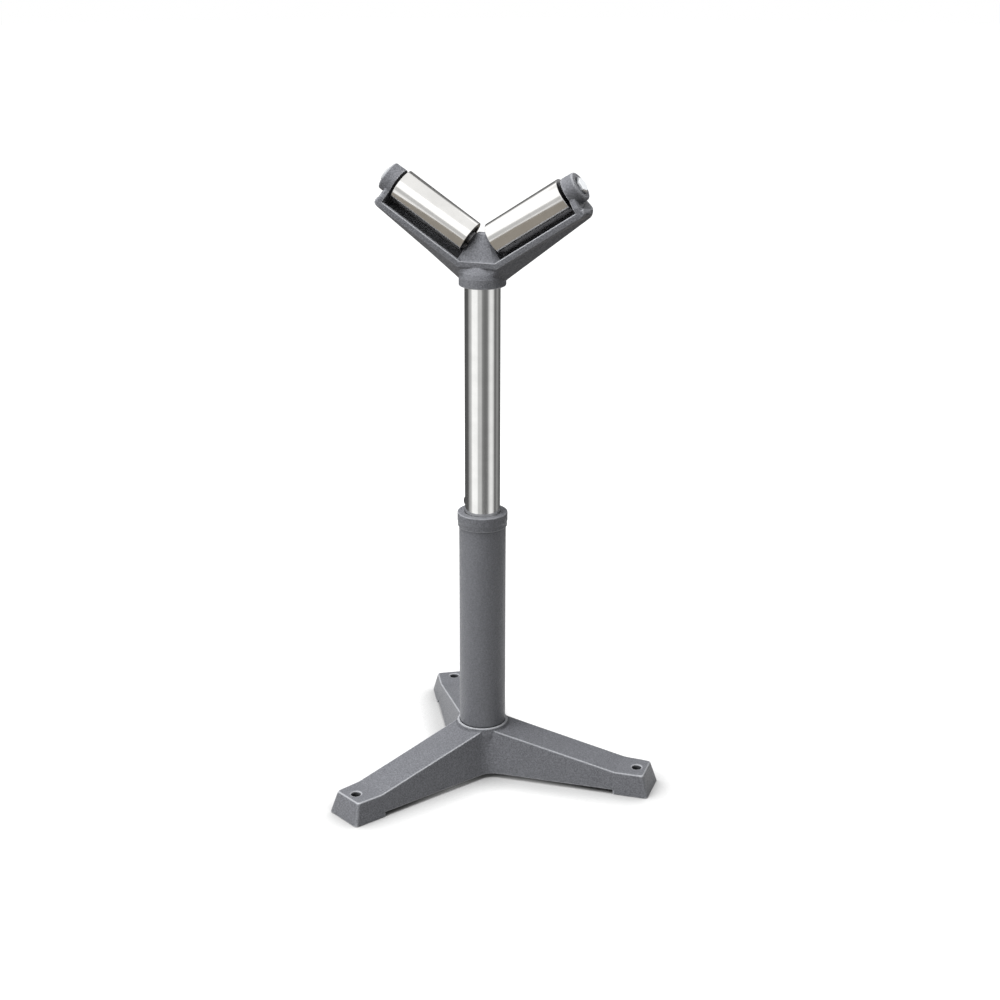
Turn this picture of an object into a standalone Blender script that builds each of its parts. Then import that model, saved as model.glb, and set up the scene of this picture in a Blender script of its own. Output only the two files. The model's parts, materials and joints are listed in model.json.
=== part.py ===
"""Roller stand: a three-legged cast base, a telescopic column and a cast V yoke with two steel rollers.

Metres, +Z up. The origin is on the floor, at the middle of the stand's bounding box, and the column
stands on an axis of its own beside it, because one of the three legs points along +X.
"""

import math

import bmesh
import bpy
from mathutils import Matrix, Vector

# Clearances
SEAT_GAP = 0.0003
SLIDE_GAP = 0.0003
THREAD_GAP = 0.0002

# How far a cutter runs past the faces that it opens, and the share of a facet that turns it
CUT_MARGIN = 0.01
CUTTER_PHASE = 0.37

# Base casting: legs
LEG_ANGLES = (0.0, 120.0, 240.0)
LEG_REACH = 0.2345
LEG_FOOT_HALF_WIDTH = 0.028
LEG_TAPER = 0.0475
LEG_SIDE_DRAFT = 0.21
LEG_END_DRAFT = 0.29
LEG_SLOPE = 0.1986
FOOT_HEIGHT = 0.0289
FOOT_TOP_LENGTH = 0.0368
FOOT_PAD_LENGTH = 0.046
FOOT_PAD_STEP = 0.0055
FOOT_HOLE_D = 0.0125
FOOT_HOLE_INSET = 0.022
FOOT_CORNER_R = 0.004
CROTCH_R_FLOOR = 0.026
CROTCH_R_DRAFT = 0.13
CASTING_WALL = 0.0065

# Base casting: hub
HUB_WALL = 0.0032
HUB_RING_HEIGHT = 0.0055
HUB_RING_ROUND = 0.0012
HUB_LEDGE = 0.006
OUTER_TUBE_FOOT_Z = 0.020

# Column tubes
INNER_TUBE_D = 0.045
INNER_TUBE_WALL = 0.003
INNER_TUBE_LENGTH = 0.489
INNER_TUBE_CHAMFER = 0.0008
OUTER_TUBE_WALL = 0.004

# Collar and guides
COLLAR_TOP_Z = 0.3592
COLLAR_HEIGHT = 0.0188
COLLAR_WALL = 0.0018
COLLAR_LIP = 0.003
COLLAR_EDGE = 0.0012
COLLAR_BOSS_D = 0.021
COLLAR_BOSS_LENGTH = 0.01075
BUSH_WALL = 0.00305
BUSH_LENGTH = 0.055
GUIDE_LENGTH = 0.015
GUIDE_FOOT = 0.004
CIRCLIP_THICKNESS = 0.0015
CIRCLIP_HEIGHT = 0.0028
CIRCLIP_DEPTH = 0.0008
CIRCLIP_OPENING = 40.0

# Clamp behind the collar
CLAMP_ANGLE = 120.0
CLAMP_Z = 0.3485
CLAMP_THREAD_D = 0.010
PAD_LENGTH = 0.0052
CLAMP_INSERT_D = 0.014
CLAMP_INSERT_GAP = 0.004
CLAMP_INSERT_LENGTH = 0.012
HANDLE_HUB_D = 0.022
HANDLE_HUB_OVERLAP = 0.001
HANDLE_HUB_ROUND = 0.0015
HANDLE_SHOULDER = 0.002
HANDLE_LENGTH = 0.072
HANDLE_WIDTH = 0.013
HANDLE_THICKNESS = 0.009
HANDLE_LEAN = 0.012
HANDLE_SPRING_LENGTH = 0.010
SPRING_WIRE_D = 0.0009
SPRING_TURNS = 4.5
RETAINER_D = 0.005
RETAINER_GRIP = 0.0084
RETAINER_HEAD_D = 0.0105
RETAINER_HEAD_HEIGHT = 0.003
RETAINER_CHAMFER = 0.0005
RETAINER_SOCKET_D = 0.0046
RETAINER_SOCKET_DEPTH = 0.002

# Yoke: V geometry, measured along and across each roller's axis from the point where the axes meet
HEAD_Z = 0.6547
SOCKET_WALL = 0.0067
SOCKET_HEIGHT = 0.0115
SOCKET_DEPTH = 0.020
V_TILT = 33.5
V_APEX_HEIGHT = 0.0475
RIM_DROP = 0.0251
REAR_RIM_RISE = 0.006
RIM_BAND = 0.007
RIM_CREASE = 0.0018
NECK_INSET = 0.0002
YOKE_HALF_WIDTH = 0.0215
YOKE_WALL = 0.004
YOKE_KNEE_Z = 0.6873
KEEL_HALF_WIDTH = 0.0055
KEEL_END_DROP = 0.0386
END_ROUND = 0.009
END_CORNER = 0.004
KEEL_ROOT_X = 0.0225
KEEL_ROOT_Z = 0.6562
POCKET_DEPTH = 0.006
POCKET_CORNER = 0.004
EAR_THICKNESS = 0.008
EAR_R = 0.019
EAR_ARC_BELOW = 25.0
EAR_ARC_STEPS = 16
EAR_FLARE = 0.18
EAR_FLARE_START = 0.018
EAR_STEP = 0.0004
EAR_BOSS_R = 0.0187
EAR_BOSS_HEIGHT = 0.009
EAR_BOSS_ROUND = 0.0022
BOLT_RECESS_D = 0.0225
BOLT_RECESS_DEPTH = 0.0065
WEB_FACE = 0.0158
WEB_TOP_Z = 0.7205
WEB_TOP_EDGE = 0.001
WEB_TOP_HALF_X = 0.0045
WEB_TOP_HALF_Y = 0.005
WEB_FRONT_HALF_X = 0.0225
WEB_PAD_HALF_Y = 0.015

# Rollers, axles and bearings
ROLLER_D = 0.043
ROLLER_LENGTH = 0.108
WEB_CLEARANCE = 0.0036
ROLLER_EDGE = 0.0008
ROLLER_BORE_D = 0.029
BEARING_BORE_D = 0.012
BEARING_OUTER_D = 0.032
BEARING_WIDTH = 0.010
BEARING_RECESS = 0.0015
BALL_D = 0.0056
BALL_COUNT = 7
RACE_HALF_WIDTH = 0.0018
RACE_GAP = 0.00045
CAGE_THICKNESS = 0.0014
CAGE_WIDTH = 0.0072
SEAL_THICKNESS = 0.0006
EAR_CLEARANCE = 0.004
AXLE_D = 0.0118
AXLE_TIP = 0.006
AXLE_TIP_GAP = 0.001
SPACER_WALL = 0.003
SLEEVE_WALL = 0.002
WASHER_D = 0.021
WASHER_THICKNESS = 0.002
BOLT_HEAD_WIDTH = 0.018
BOLT_HEAD_HEIGHT = 0.0075
BOLT_HEAD_CHAMFER = 0.0012

# Set screws that hold the yoke on the inner tube
SET_SCREW_D = 0.008
SET_SCREW_Z = 0.6625
SET_SCREW_SOCKET_D = 0.0046
SET_SCREW_SOCKET_DEPTH = 0.004
SET_SCREW_SINK = 0.0005
SET_SCREW_CHAMFER = 0.0004
TIP_CHAMFER = 0.001

# Corners closer than this, where shapes meet, are one corner
MERGE_DISTANCE = 0.00003

# Faces that meet at less than this angle, in radians, are one flat face
FLAT_ANGLE = 0.0005

# Facets around each kind of round piece
TUBE_FACETS = 32
ROLLER_FACETS = 32
SMALL_FACETS = 16
RING_FACETS = 14
BALL_FACETS = 7
CAGE_FACETS = 14
WIRE_FACETS = 5


def cosd(angle):
    return math.cos(math.radians(angle))


def sind(angle):
    return math.sin(math.radians(angle))


def clear_scene():
    for obj in list(bpy.data.objects):
        bpy.data.objects.remove(obj)


def make_material(name, colour, roughness, metallic):
    material = bpy.data.materials.new(name)
    material.use_nodes = True
    shader = material.node_tree.nodes["Principled BSDF"]
    shader.inputs["Base Color"].default_value = (*colour, 1.0)
    shader.inputs["Roughness"].default_value = roughness
    shader.inputs["Metallic"].default_value = metallic
    return material


def make_materials():
    return {
        "casting_paint": make_material("casting_paint", (0.13, 0.13, 0.14), 0.5, 0.3),
        "tube_paint": make_material("tube_paint", (0.10, 0.10, 0.11), 0.5, 0.3),
        "chromed_steel": make_material("chromed_steel", (0.72, 0.71, 0.69), 0.2, 1.0),
        "roller_steel": make_material("roller_steel", (0.62, 0.60, 0.57), 0.25, 1.0),
        "zinc_plate": make_material("zinc_plate", (0.75, 0.77, 0.77), 0.3, 1.0),
        "bearing_steel": make_material("bearing_steel", (0.55, 0.55, 0.56), 0.2, 1.0),
        "seal_rubber": make_material("seal_rubber", (0.02, 0.02, 0.02), 0.6, 0.0),
        "guide_nylon": make_material("guide_nylon", (0.75, 0.73, 0.66), 0.5, 0.0),
        "brass": make_material("brass", (0.70, 0.52, 0.22), 0.35, 1.0),
        "handle_black": make_material("handle_black", (0.03, 0.03, 0.03), 0.45, 0.0),
    }


def finish_object(name, bm, material):
    """Makes an object of the mesh, with its faces pointing out and its round sides smooth."""
    bmesh.ops.remove_doubles(bm, verts=bm.verts, dist=1e-6)
    bmesh.ops.recalc_face_normals(bm, faces=bm.faces)
    mesh = bpy.data.meshes.new(name)
    bm.to_mesh(mesh)
    bm.free()
    obj = bpy.data.objects.new(name, mesh)
    bpy.context.scene.collection.objects.link(obj)
    if material is not None:
        mesh.materials.append(material)
    shade(obj)
    return obj


def shade(obj):
    obj.data.shade_smooth()
    obj.data.set_sharp_from_angle(angle=math.radians(35))


def turned(name, profile, facets, material=None, phase=0.0):
    """A turned piece: profile holds (radius, height) points, and ends on the axis close the piece.

    The phase turns the facets by a share of one facet, so that a cutter's corners miss the body's.
    """
    bm = bmesh.new()
    angles = [math.tau * (k + phase) / facets for k in range(facets)]
    rings = []
    for r, z in profile:
        if r > 0.0:
            rings.append([bm.verts.new((r * math.cos(a), r * math.sin(a), z)) for a in angles])
    pairs = list(zip(rings, rings[1:]))
    if profile[0][0] > 0.0:
        pairs.append((rings[-1], rings[0]))
    for lower, upper in pairs:
        for i in range(facets):
            j = (i + 1) % facets
            bm.faces.new((lower[i], lower[j], upper[j], upper[i]))
    if profile[0][0] == 0.0:
        close_end(bm, rings[0], profile[0][1] - profile[1][1], profile[0][1])
        close_end(bm, rings[-1], profile[-1][1] - profile[-2][1], profile[-1][1])
    return finish_object(name, bm, material)


def close_end(bm, ring, rise, height):
    """Closes a ring with one flat face, or with a point on the axis where that lies higher or lower."""
    if rise == 0.0:
        bm.faces.new(ring)
        return
    tip = bm.verts.new((0.0, 0.0, height))
    for i, vert in enumerate(ring):
        bm.faces.new((vert, ring[(i + 1) % len(ring)], tip))


def tube(name, inner_r, outer_r, low, high, facets, material=None):
    profile = [(inner_r, low), (outer_r, low), (outer_r, high), (inner_r, high)]
    return turned(name, profile, facets, material)


def rod(name, radius, low, high, facets, material=None):
    return turned(name, [(0.0, low), (radius, low), (radius, high), (0.0, high)], facets, material)


def cutter(name, radius, low, high, facets):
    return turned(name, [(0.0, low), (radius, low), (radius, high), (0.0, high)], facets, phase=CUTTER_PHASE)


def lofted(name, rings, material=None):
    """A solid whose skin runs through rings of as many points each, closed by its first and last."""
    bm = bmesh.new()
    loops = [[bm.verts.new(point) for point in ring] for ring in rings]
    count = len(rings[0])
    for lower, upper in zip(loops, loops[1:]):
        for i in range(count):
            j = (i + 1) % count
            bm.faces.new((lower[i], lower[j], upper[j], upper[i]))
    bm.faces.new(loops[0])
    bm.faces.new(loops[-1])
    return finish_object(name, bm, material)


def combine(body, tool, operation):
    """Unites, cuts or intersects the body with the tool, and takes the tool away."""
    modifier = body.modifiers.new(operation.title(), "BOOLEAN")
    modifier.object = tool
    modifier.operation = operation
    bpy.context.view_layer.update()
    graph = bpy.context.evaluated_depsgraph_get()
    mesh = bpy.data.meshes.new_from_object(body.evaluated_get(graph))
    body.modifiers.remove(modifier)
    bm = bmesh.new()
    bm.from_mesh(mesh)
    bmesh.ops.remove_doubles(bm, verts=bm.verts, dist=MERGE_DISTANCE)
    bmesh.ops.dissolve_limit(bm, angle_limit=FLAT_ANGLE, verts=bm.verts, edges=bm.edges)
    bm.to_mesh(mesh)
    bm.free()
    body.data = mesh
    mesh.name = body.name
    bpy.data.objects.remove(tool)
    shade(body)


def moved(obj, matrix):
    obj.data.transform(matrix)
    return obj


def place(obj, frame):
    """Hangs the object on an empty that stands where its own axis is."""
    obj.parent = frame
    return obj


def empty(name, matrix, parent=None):
    frame = bpy.data.objects.new(name, None)
    bpy.context.scene.collection.objects.link(frame)
    frame.parent = parent
    frame.matrix_local = matrix
    return frame


def filleted(corners, radii, steps):
    """The closed outline through the corners, each rounded to its radius by an arc of as many steps."""
    points = []
    count = len(corners)
    for i, corner in enumerate(corners):
        here = Vector(corner)
        before = (Vector(corners[i - 1]) - here).normalized()
        after = (Vector(corners[(i + 1) % count]) - here).normalized()
        half = before.angle(after) / 2
        middle = (before + after).normalized()
        centre = here + middle * (radii[i] / math.sin(half))
        start = here + before * (radii[i] / math.tan(half)) - centre
        end = here + after * (radii[i] / math.tan(half)) - centre
        turn = start.angle_signed(end)
        for k in range(steps + 1):
            arm = start.copy()
            arm.rotate(Matrix.Rotation(-turn * k / steps, 2))
            points.append(centre + arm)
    return points


def leg_half_width(reach, height):
    """Half the width of a leg's drafted walls at a distance from the column and a height."""
    return LEG_FOOT_HALF_WIDTH + LEG_TAPER * (LEG_REACH - reach) - LEG_SIDE_DRAFT * height


def star_outline(height, inset, reach):
    """The outline of the three legs at a height, drawn in by an inset and ended at a reach."""
    end = reach - LEG_END_DRAFT * height
    hub_width = leg_half_width(0.0, height) - inset
    crotch = hub_width / (sind(60) + LEG_TAPER * cosd(60))
    crotch_r = CROTCH_R_FLOOR - CROTCH_R_DRAFT * height
    corners = []
    radii = []
    for angle in LEG_ANGLES:
        along = Vector((cosd(angle), sind(angle)))
        across = Vector((-sind(angle), cosd(angle)))
        half = leg_half_width(end, height) - inset
        corners += [along * end - across * half, along * end + across * half]
        corners.append(Vector((cosd(angle + 60), sind(angle + 60))) * crotch)
        radii += [FOOT_CORNER_R, FOOT_CORNER_R, crotch_r]
    return [(p.x, p.y, height) for p in filleted(corners, radii, 4)]


def star(name, low, high, inset, reach):
    return lofted(name, [star_outline(z, inset, reach) for z in (low, high)])


def triangle_prism(name, reach, low, high):
    """Three sides at right angles to the legs, at a distance from the column."""
    corners = [(cosd(a + 60) * reach * 2, sind(a + 60) * reach * 2) for a in LEG_ANGLES]
    return lofted(name, [[(x, y, z) for x, y in corners] for z in (low, high)])


def roof(name, drop):
    """The space under the legs' sloping tops and the level feet, lowered by a drop."""
    crease = foot_crease()
    peak = FOOT_HEIGHT + LEG_SLOPE * crease
    depth = 2 * CUT_MARGIN
    foot = (peak + depth) / LEG_SLOPE
    bm = bmesh.new()
    top = bm.verts.new((0, 0, peak - drop))
    base = [
        bm.verts.new((cosd(a + 60) * foot * 2, sind(a + 60) * foot * 2, -depth - drop))
        for a in LEG_ANGLES
    ]
    for i in range(3):
        bm.faces.new((base[i], base[(i + 1) % 3], top))
    bm.faces.new(base)
    slopes = finish_object(name, bm, None)
    level = triangle_prism(name + "_level", LEG_REACH * 1.2, -depth * 1.5 - drop, FOOT_HEIGHT - drop)
    combine(slopes, level, "UNION")
    return slopes


def foot_crease():
    return LEG_REACH - LEG_END_DRAFT * FOOT_HEIGHT - FOOT_TOP_LENGTH


def foot_hole_reach():
    return LEG_REACH - FOOT_HOLE_INSET


def outer_tube_radius():
    """The outer tube holds the bush, and the bush guides the inner tube."""
    return INNER_TUBE_D / 2 + SLIDE_GAP + BUSH_WALL + SEAT_GAP + OUTER_TUBE_WALL


def boss_reach():
    return outer_tube_radius() + SEAT_GAP + COLLAR_WALL + COLLAR_BOSS_LENGTH


def clamp_insert_start():
    return boss_reach() + CLAMP_INSERT_GAP


def hub_radius():
    return outer_tube_radius() + SEAT_GAP + HUB_WALL


def hub_ring_top():
    peak = FOOT_HEIGHT + LEG_SLOPE * foot_crease()
    return peak - LEG_SLOPE * hub_radius() + HUB_RING_HEIGHT


def build_base_casting(material):
    tallest = FOOT_HEIGHT + LEG_SLOPE * foot_crease() + CUT_MARGIN
    body = star("base_casting", 0.0, tallest, 0.0, LEG_REACH)
    combine(body, roof("roof", 0.0), "INTERSECT")
    pad_start = LEG_REACH - FOOT_PAD_LENGTH
    combine(body, triangle_prism("underside", pad_start, -CUT_MARGIN, FOOT_PAD_STEP), "DIFFERENCE")

    core_reach = pad_start - CASTING_WALL / 2
    core = star("core", -CUT_MARGIN, tallest, CASTING_WALL, core_reach)
    combine(core, roof("core_roof", CASTING_WALL), "INTERSECT")
    combine(body, core, "DIFFERENCE")

    top = hub_ring_top()
    hub_r = hub_radius()
    skirt_r = hub_r + HUB_WALL / 2
    hub = turned(
        "hub",
        [
            (0.0, FOOT_PAD_STEP),
            (skirt_r, FOOT_PAD_STEP),
            (skirt_r, top - HUB_RING_HEIGHT * 1.6),
            (hub_r + HUB_RING_ROUND / 2, top - HUB_RING_HEIGHT),
            (hub_r, top - HUB_RING_ROUND),
            (hub_r - HUB_RING_ROUND * 0.35, top - HUB_RING_ROUND * 0.3),
            (hub_r - HUB_RING_ROUND, top),
            (0.0, top),
        ],
        TUBE_FACETS,
    )
    combine(body, hub, "UNION")
    bore_r = outer_tube_radius() + SEAT_GAP
    bore = turned(
        "bore",
        [
            (0.0, -CUT_MARGIN),
            (bore_r - HUB_LEDGE, -CUT_MARGIN),
            (bore_r - HUB_LEDGE, OUTER_TUBE_FOOT_Z - SEAT_GAP),
            (bore_r, OUTER_TUBE_FOOT_Z - SEAT_GAP),
            (bore_r, top + CUT_MARGIN),
            (0.0, top + CUT_MARGIN),
        ],
        TUBE_FACETS,
    )
    combine(body, bore, "DIFFERENCE")
    for angle in LEG_ANGLES:
        hole = cutter("hole", FOOT_HOLE_D / 2, -CUT_MARGIN, FOOT_HEIGHT + CUT_MARGIN, SMALL_FACETS)
        reach = foot_hole_reach()
        moved(hole, Matrix.Translation((cosd(angle) * reach, sind(angle) * reach, 0)))
        combine(body, hole, "DIFFERENCE")
    body.data.materials.clear()
    body.data.materials.append(material)
    return body


def clamp_drill(name):
    """A cutter along the clamp's axis, from inside the inner tube's place to past the boss."""
    start = INNER_TUBE_D / 2 - SLIDE_GAP
    end = boss_reach() + CUT_MARGIN
    drill = cutter(name, CLAMP_THREAD_D / 2 + THREAD_GAP, start, end, SMALL_FACETS)
    return moved(drill, clamp_matrix())


def clamp_matrix():
    """Turns a piece's own +Z into the direction that the clamp's screw points, with +X hanging down."""
    turn = Matrix.Rotation(math.radians(CLAMP_ANGLE), 4, "Z")
    return Matrix.Translation((0, 0, CLAMP_Z)) @ turn @ Matrix.Rotation(math.radians(90), 4, "Y")


def tube_top():
    return COLLAR_TOP_Z - COLLAR_LIP - SEAT_GAP


def build_outer_tube(material):
    outer = outer_tube_radius()
    body = tube(
        "outer_tube", outer - OUTER_TUBE_WALL, outer, OUTER_TUBE_FOOT_Z, tube_top(), TUBE_FACETS, material
    )
    combine(body, clamp_drill("drill"), "DIFFERENCE")
    return body


def build_collar(material):
    seat_r = outer_tube_radius() + SEAT_GAP
    outer = seat_r + COLLAR_WALL
    mouth = INNER_TUBE_D / 2 + SLIDE_GAP
    bottom = COLLAR_TOP_Z - COLLAR_HEIGHT
    top = COLLAR_TOP_Z
    profile = [
        (seat_r, bottom),
        (outer - COLLAR_EDGE / 2, bottom),
        (outer - COLLAR_EDGE / 2, bottom + COLLAR_HEIGHT * 0.28),
        (outer, bottom + COLLAR_HEIGHT * 0.40),
        (outer, top - COLLAR_EDGE),
        (outer - COLLAR_EDGE * 0.3, top - COLLAR_EDGE * 0.3),
        (outer - COLLAR_EDGE, top),
        (mouth + COLLAR_EDGE, top),
        (mouth, top - COLLAR_EDGE),
        (mouth, tube_top() + SEAT_GAP),
        (seat_r, tube_top() + SEAT_GAP),
    ]
    body = turned("top_collar", profile, TUBE_FACETS, material)
    boss = rod("boss", COLLAR_BOSS_D / 2, seat_r + COLLAR_WALL / 2, boss_reach(), SMALL_FACETS)
    combine(body, moved(boss, clamp_matrix()), "UNION")
    combine(body, clamp_drill("drill"), "DIFFERENCE")
    return body


def build_guide_bush(material):
    outer = outer_tube_radius() - OUTER_TUBE_WALL - SEAT_GAP
    inner = INNER_TUBE_D / 2 + SLIDE_GAP
    top = tube_top()
    body = tube("upper_guide_bush", inner, outer, top - BUSH_LENGTH, top, TUBE_FACETS, material)
    combine(body, clamp_drill("drill"), "DIFFERENCE")
    return body


def inner_tube_top():
    return HEAD_Z + SOCKET_DEPTH - SEAT_GAP


def inner_tube_bottom():
    return inner_tube_top() - INNER_TUBE_LENGTH


def groove_heights():
    """The lower edges of the two circlip grooves, below and above the guide ring."""
    low = inner_tube_bottom() + GUIDE_FOOT
    return low, low + CIRCLIP_THICKNESS + 3 * SEAT_GAP + GUIDE_LENGTH


def build_inner_tube(material):
    outer = INNER_TUBE_D / 2
    inner = outer - INNER_TUBE_WALL
    groove_r = outer - CIRCLIP_DEPTH - SEAT_GAP
    bottom = inner_tube_bottom()
    top = inner_tube_top()
    profile = [(inner, bottom), (outer - INNER_TUBE_CHAMFER, bottom), (outer, bottom + INNER_TUBE_CHAMFER)]
    for low in groove_heights():
        high = low + CIRCLIP_THICKNESS + 2 * SEAT_GAP
        profile += [(outer, low), (groove_r, low), (groove_r, high), (outer, high)]
    profile += [(outer, top - INNER_TUBE_CHAMFER), (outer - INNER_TUBE_CHAMFER, top), (inner, top)]
    return turned("inner_tube", profile, TUBE_FACETS, material)


def build_guide_ring(material):
    low, high = groove_heights()
    bottom = low + CIRCLIP_THICKNESS + 2 * SEAT_GAP
    outer = outer_tube_radius() - OUTER_TUBE_WALL - SLIDE_GAP
    return tube(
        "lower_guide_ring", INNER_TUBE_D / 2 + SLIDE_GAP, outer, bottom, high, TUBE_FACETS, material
    )


def build_circlip(name, groove, material):
    """An open ring in one of the inner tube's grooves, beside the guide ring."""
    inner = INNER_TUBE_D / 2 - CIRCLIP_DEPTH
    outer = inner + CIRCLIP_HEIGHT
    low = groove + SEAT_GAP
    high = low + CIRCLIP_THICKNESS
    steps = 24
    rings = []
    for k in range(steps + 1):
        angle = CIRCLIP_OPENING / 2 + (360 - CIRCLIP_OPENING) * k / steps
        section = [(inner, low), (outer, low), (outer, high), (inner, high)]
        rings.append([(r * cosd(angle), r * sind(angle), z) for r, z in section])
    return lofted(name, rings, material)


def socket_radius():
    return INNER_TUBE_D / 2 + SEAT_GAP + SOCKET_WALL


def roller_start():
    return WEB_FACE + WEB_CLEARANCE


def v_apex_z():
    return HEAD_Z + V_APEX_HEIGHT


def arm_point(side, along, across, y):
    """A point of an arm, from its distance along the roller's axis and its height across that axis."""
    x = along * cosd(V_TILT) - across * sind(V_TILT)
    z = v_apex_z() + along * sind(V_TILT) + across * cosd(V_TILT)
    return side * x, y, z


def ear_inner():
    return roller_start() + ROLLER_LENGTH + EAR_CLEARANCE


def end_wall(across):
    """How far along the body's end lies: a plane that leaves the ear's outer face and flares out below it."""
    return ear_inner() + EAR_THICKNESS + EAR_FLARE * (-EAR_FLARE_START - across)


def knee_x(drop):
    """Where an arm's line at a drop below the axis comes down to the level middle of the rim."""
    return (drop - (v_apex_z() - YOKE_KNEE_Z) * cosd(V_TILT)) / sind(V_TILT)


def yoke_station(front, rear, band, crease, keel, width=YOKE_HALF_WIDTH):
    """One section of the yoke's body: the rims, the band below them, the crease and the keel."""
    body_half = width - RIM_CREASE
    keel_half = KEEL_HALF_WIDTH
    lift = KEEL_HALF_WIDTH * 0.5

    def at(y, point, rise=0.0):
        return point[0], y, point[1] + rise

    return [
        at(-width, front),
        at(-width, band),
        at(-body_half, crease),
        at(-keel_half, keel, lift),
        at(-keel_half * 0.6, keel),
        at(keel_half * 0.6, keel),
        at(keel_half, keel, lift),
        at(body_half, crease),
        at(width, band),
        at(width, rear),
    ]


def build_yoke_body():
    """The body under the rollers: four sections through the two ends and the two knees."""
    stations = []
    for side in (-1, 1):
        rear_drop = RIM_DROP - REAR_RIM_RISE
        lows = (RIM_DROP + RIM_BAND, RIM_DROP + RIM_BAND + RIM_CREASE, KEEL_END_DROP)
        ends = []
        for share in (0.0, 0.35, 1.0):
            curve = 1 - math.sqrt(1 - (1 - share) ** 2)
            drops = [RIM_DROP, rear_drop, *[low - END_ROUND * 0.6 * curve for low in lows]]
            points = [arm_point(side, end_wall(-d) - END_ROUND * share, -d, 0) for d in drops]
            width = YOKE_HALF_WIDTH - END_CORNER * curve
            ends.append(yoke_station(*[(x, z) for x, _, z in points], width))
        shift = RIM_BAND * math.tan(math.radians(V_TILT / 2))
        knee = yoke_station(
            (side * knee_x(RIM_DROP), YOKE_KNEE_Z),
            (side * knee_x(rear_drop), YOKE_KNEE_Z),
            (side * (knee_x(RIM_DROP) + shift), YOKE_KNEE_Z - RIM_BAND),
            (side * (knee_x(RIM_DROP) + shift), YOKE_KNEE_Z - RIM_BAND - RIM_CREASE),
            (side * KEEL_ROOT_X, KEEL_ROOT_Z),
        )
        stations += [*ends, knee] if side < 0 else [knee, *reversed(ends)]
    return lofted("head_yoke", stations)


def build_ear(side):
    """The end wall of an arm: round over the axle, and nearly as wide as the rim at its foot."""
    sweep = 180 + 2 * EAR_ARC_BELOW
    turns = [sweep * k / EAR_ARC_STEPS - EAR_ARC_BELOW for k in range(EAR_ARC_STEPS + 1)]
    outline = [(EAR_R * cosd(turn), EAR_R * sind(turn)) for turn in turns]
    half = YOKE_HALF_WIDTH - EAR_STEP
    rear_rim = REAR_RIM_RISE - RIM_DROP
    foot = -RIM_DROP - POCKET_DEPTH - EAR_STEP
    outline += [(-half, rear_rim), (-half, foot), (half, foot), (half, rear_rim)]
    rings = []
    for share, narrow in ((0.0, 0.0), (0.55, 0.0), (0.85, 0.35), (1.0, 1.0)):
        along = ear_inner() + EAR_THICKNESS * share
        scale = 1 - narrow * END_CORNER / half
        rings.append([arm_point(side, along, across, y * scale) for y, across in outline])
    return lofted("ear", rings)


def arm_matrix(side):
    """Puts a piece's own +Z on a roller's axis, pointing up the arm, with its origin where the axes meet."""
    turn = Matrix.Rotation(math.radians(90 - V_TILT), 4, "Y")
    if side < 0:
        turn = Matrix.Rotation(math.pi, 4, "Z") @ turn
    return Matrix.Translation((0, 0, v_apex_z())) @ turn


def boss_end():
    return ear_inner() + EAR_THICKNESS + EAR_BOSS_HEIGHT


def build_ear_boss(side):
    start = ear_inner() + EAR_THICKNESS / 2
    end = boss_end()
    profile = [
        (0.0, start),
        (EAR_BOSS_R, start),
        (EAR_BOSS_R, end - EAR_BOSS_ROUND),
        (EAR_BOSS_R - EAR_BOSS_ROUND * 0.3, end - EAR_BOSS_ROUND * 0.3),
        (EAR_BOSS_R - EAR_BOSS_ROUND, end),
        (0.0, end),
    ]
    return moved(turned("ear_boss", profile, TUBE_FACETS), arm_matrix(side))


def build_web():
    """The wedge between the rollers: its sides face the rollers' ends, its front and rear lean back."""
    base_z = YOKE_KNEE_Z - RIM_BAND / 2
    rings = []
    for z in (base_z, WEB_TOP_Z - WEB_TOP_EDGE, WEB_TOP_Z):
        share = (z - base_z) / (WEB_TOP_Z - base_z)
        side_x = (WEB_FACE - (z - v_apex_z()) * sind(V_TILT)) / cosd(V_TILT)
        front_x = WEB_FRONT_HALF_X + (WEB_TOP_HALF_X - WEB_FRONT_HALF_X) * share
        base_y = YOKE_HALF_WIDTH - YOKE_WALL / 4
        front_y = base_y + (WEB_TOP_HALF_Y - base_y) * share
        pad_y = WEB_PAD_HALF_Y + (WEB_TOP_HALF_Y * 0.9 - WEB_PAD_HALF_Y) * share
        if z == WEB_TOP_Z:
            front_x -= WEB_TOP_EDGE
            side_x -= WEB_TOP_EDGE
            front_y -= WEB_TOP_EDGE
            pad_y -= WEB_TOP_EDGE
        quarter = [(side_x, -pad_y), (side_x, pad_y), (front_x, front_y)]
        other = [(-x, -y) for x, y in quarter]
        ring = quarter + [(-front_x, front_y), other[0], other[1], other[2], (front_x, -front_y)]
        rings.append([(x, y, z) for x, y in ring])
    return lofted("web", rings)


def build_pocket(side):
    """The hollow that a roller turns in, open upwards, with rounded corners along its floor."""
    half = YOKE_HALF_WIDTH - YOKE_WALL
    floor = -RIM_DROP - POCKET_DEPTH
    top = EAR_R + 2 * CUT_MARGIN
    outline = [(-half, top), (half, top), (half, floor + POCKET_CORNER)]
    outline += [
        (half - POCKET_CORNER * (1 - cosd(a)), floor + POCKET_CORNER * (1 - sind(a))) for a in (30, 60, 90)
    ]
    outline += [
        (-half + POCKET_CORNER * (1 - cosd(a)), floor + POCKET_CORNER * (1 - sind(a))) for a in (90, 60, 30)
    ]
    outline.append((-half, floor + POCKET_CORNER))
    ends = (WEB_FACE - EAR_STEP, ear_inner() + EAR_STEP)
    return lofted("pocket", [[arm_point(side, s, c, y) for y, c in outline] for s in ends])


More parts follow.
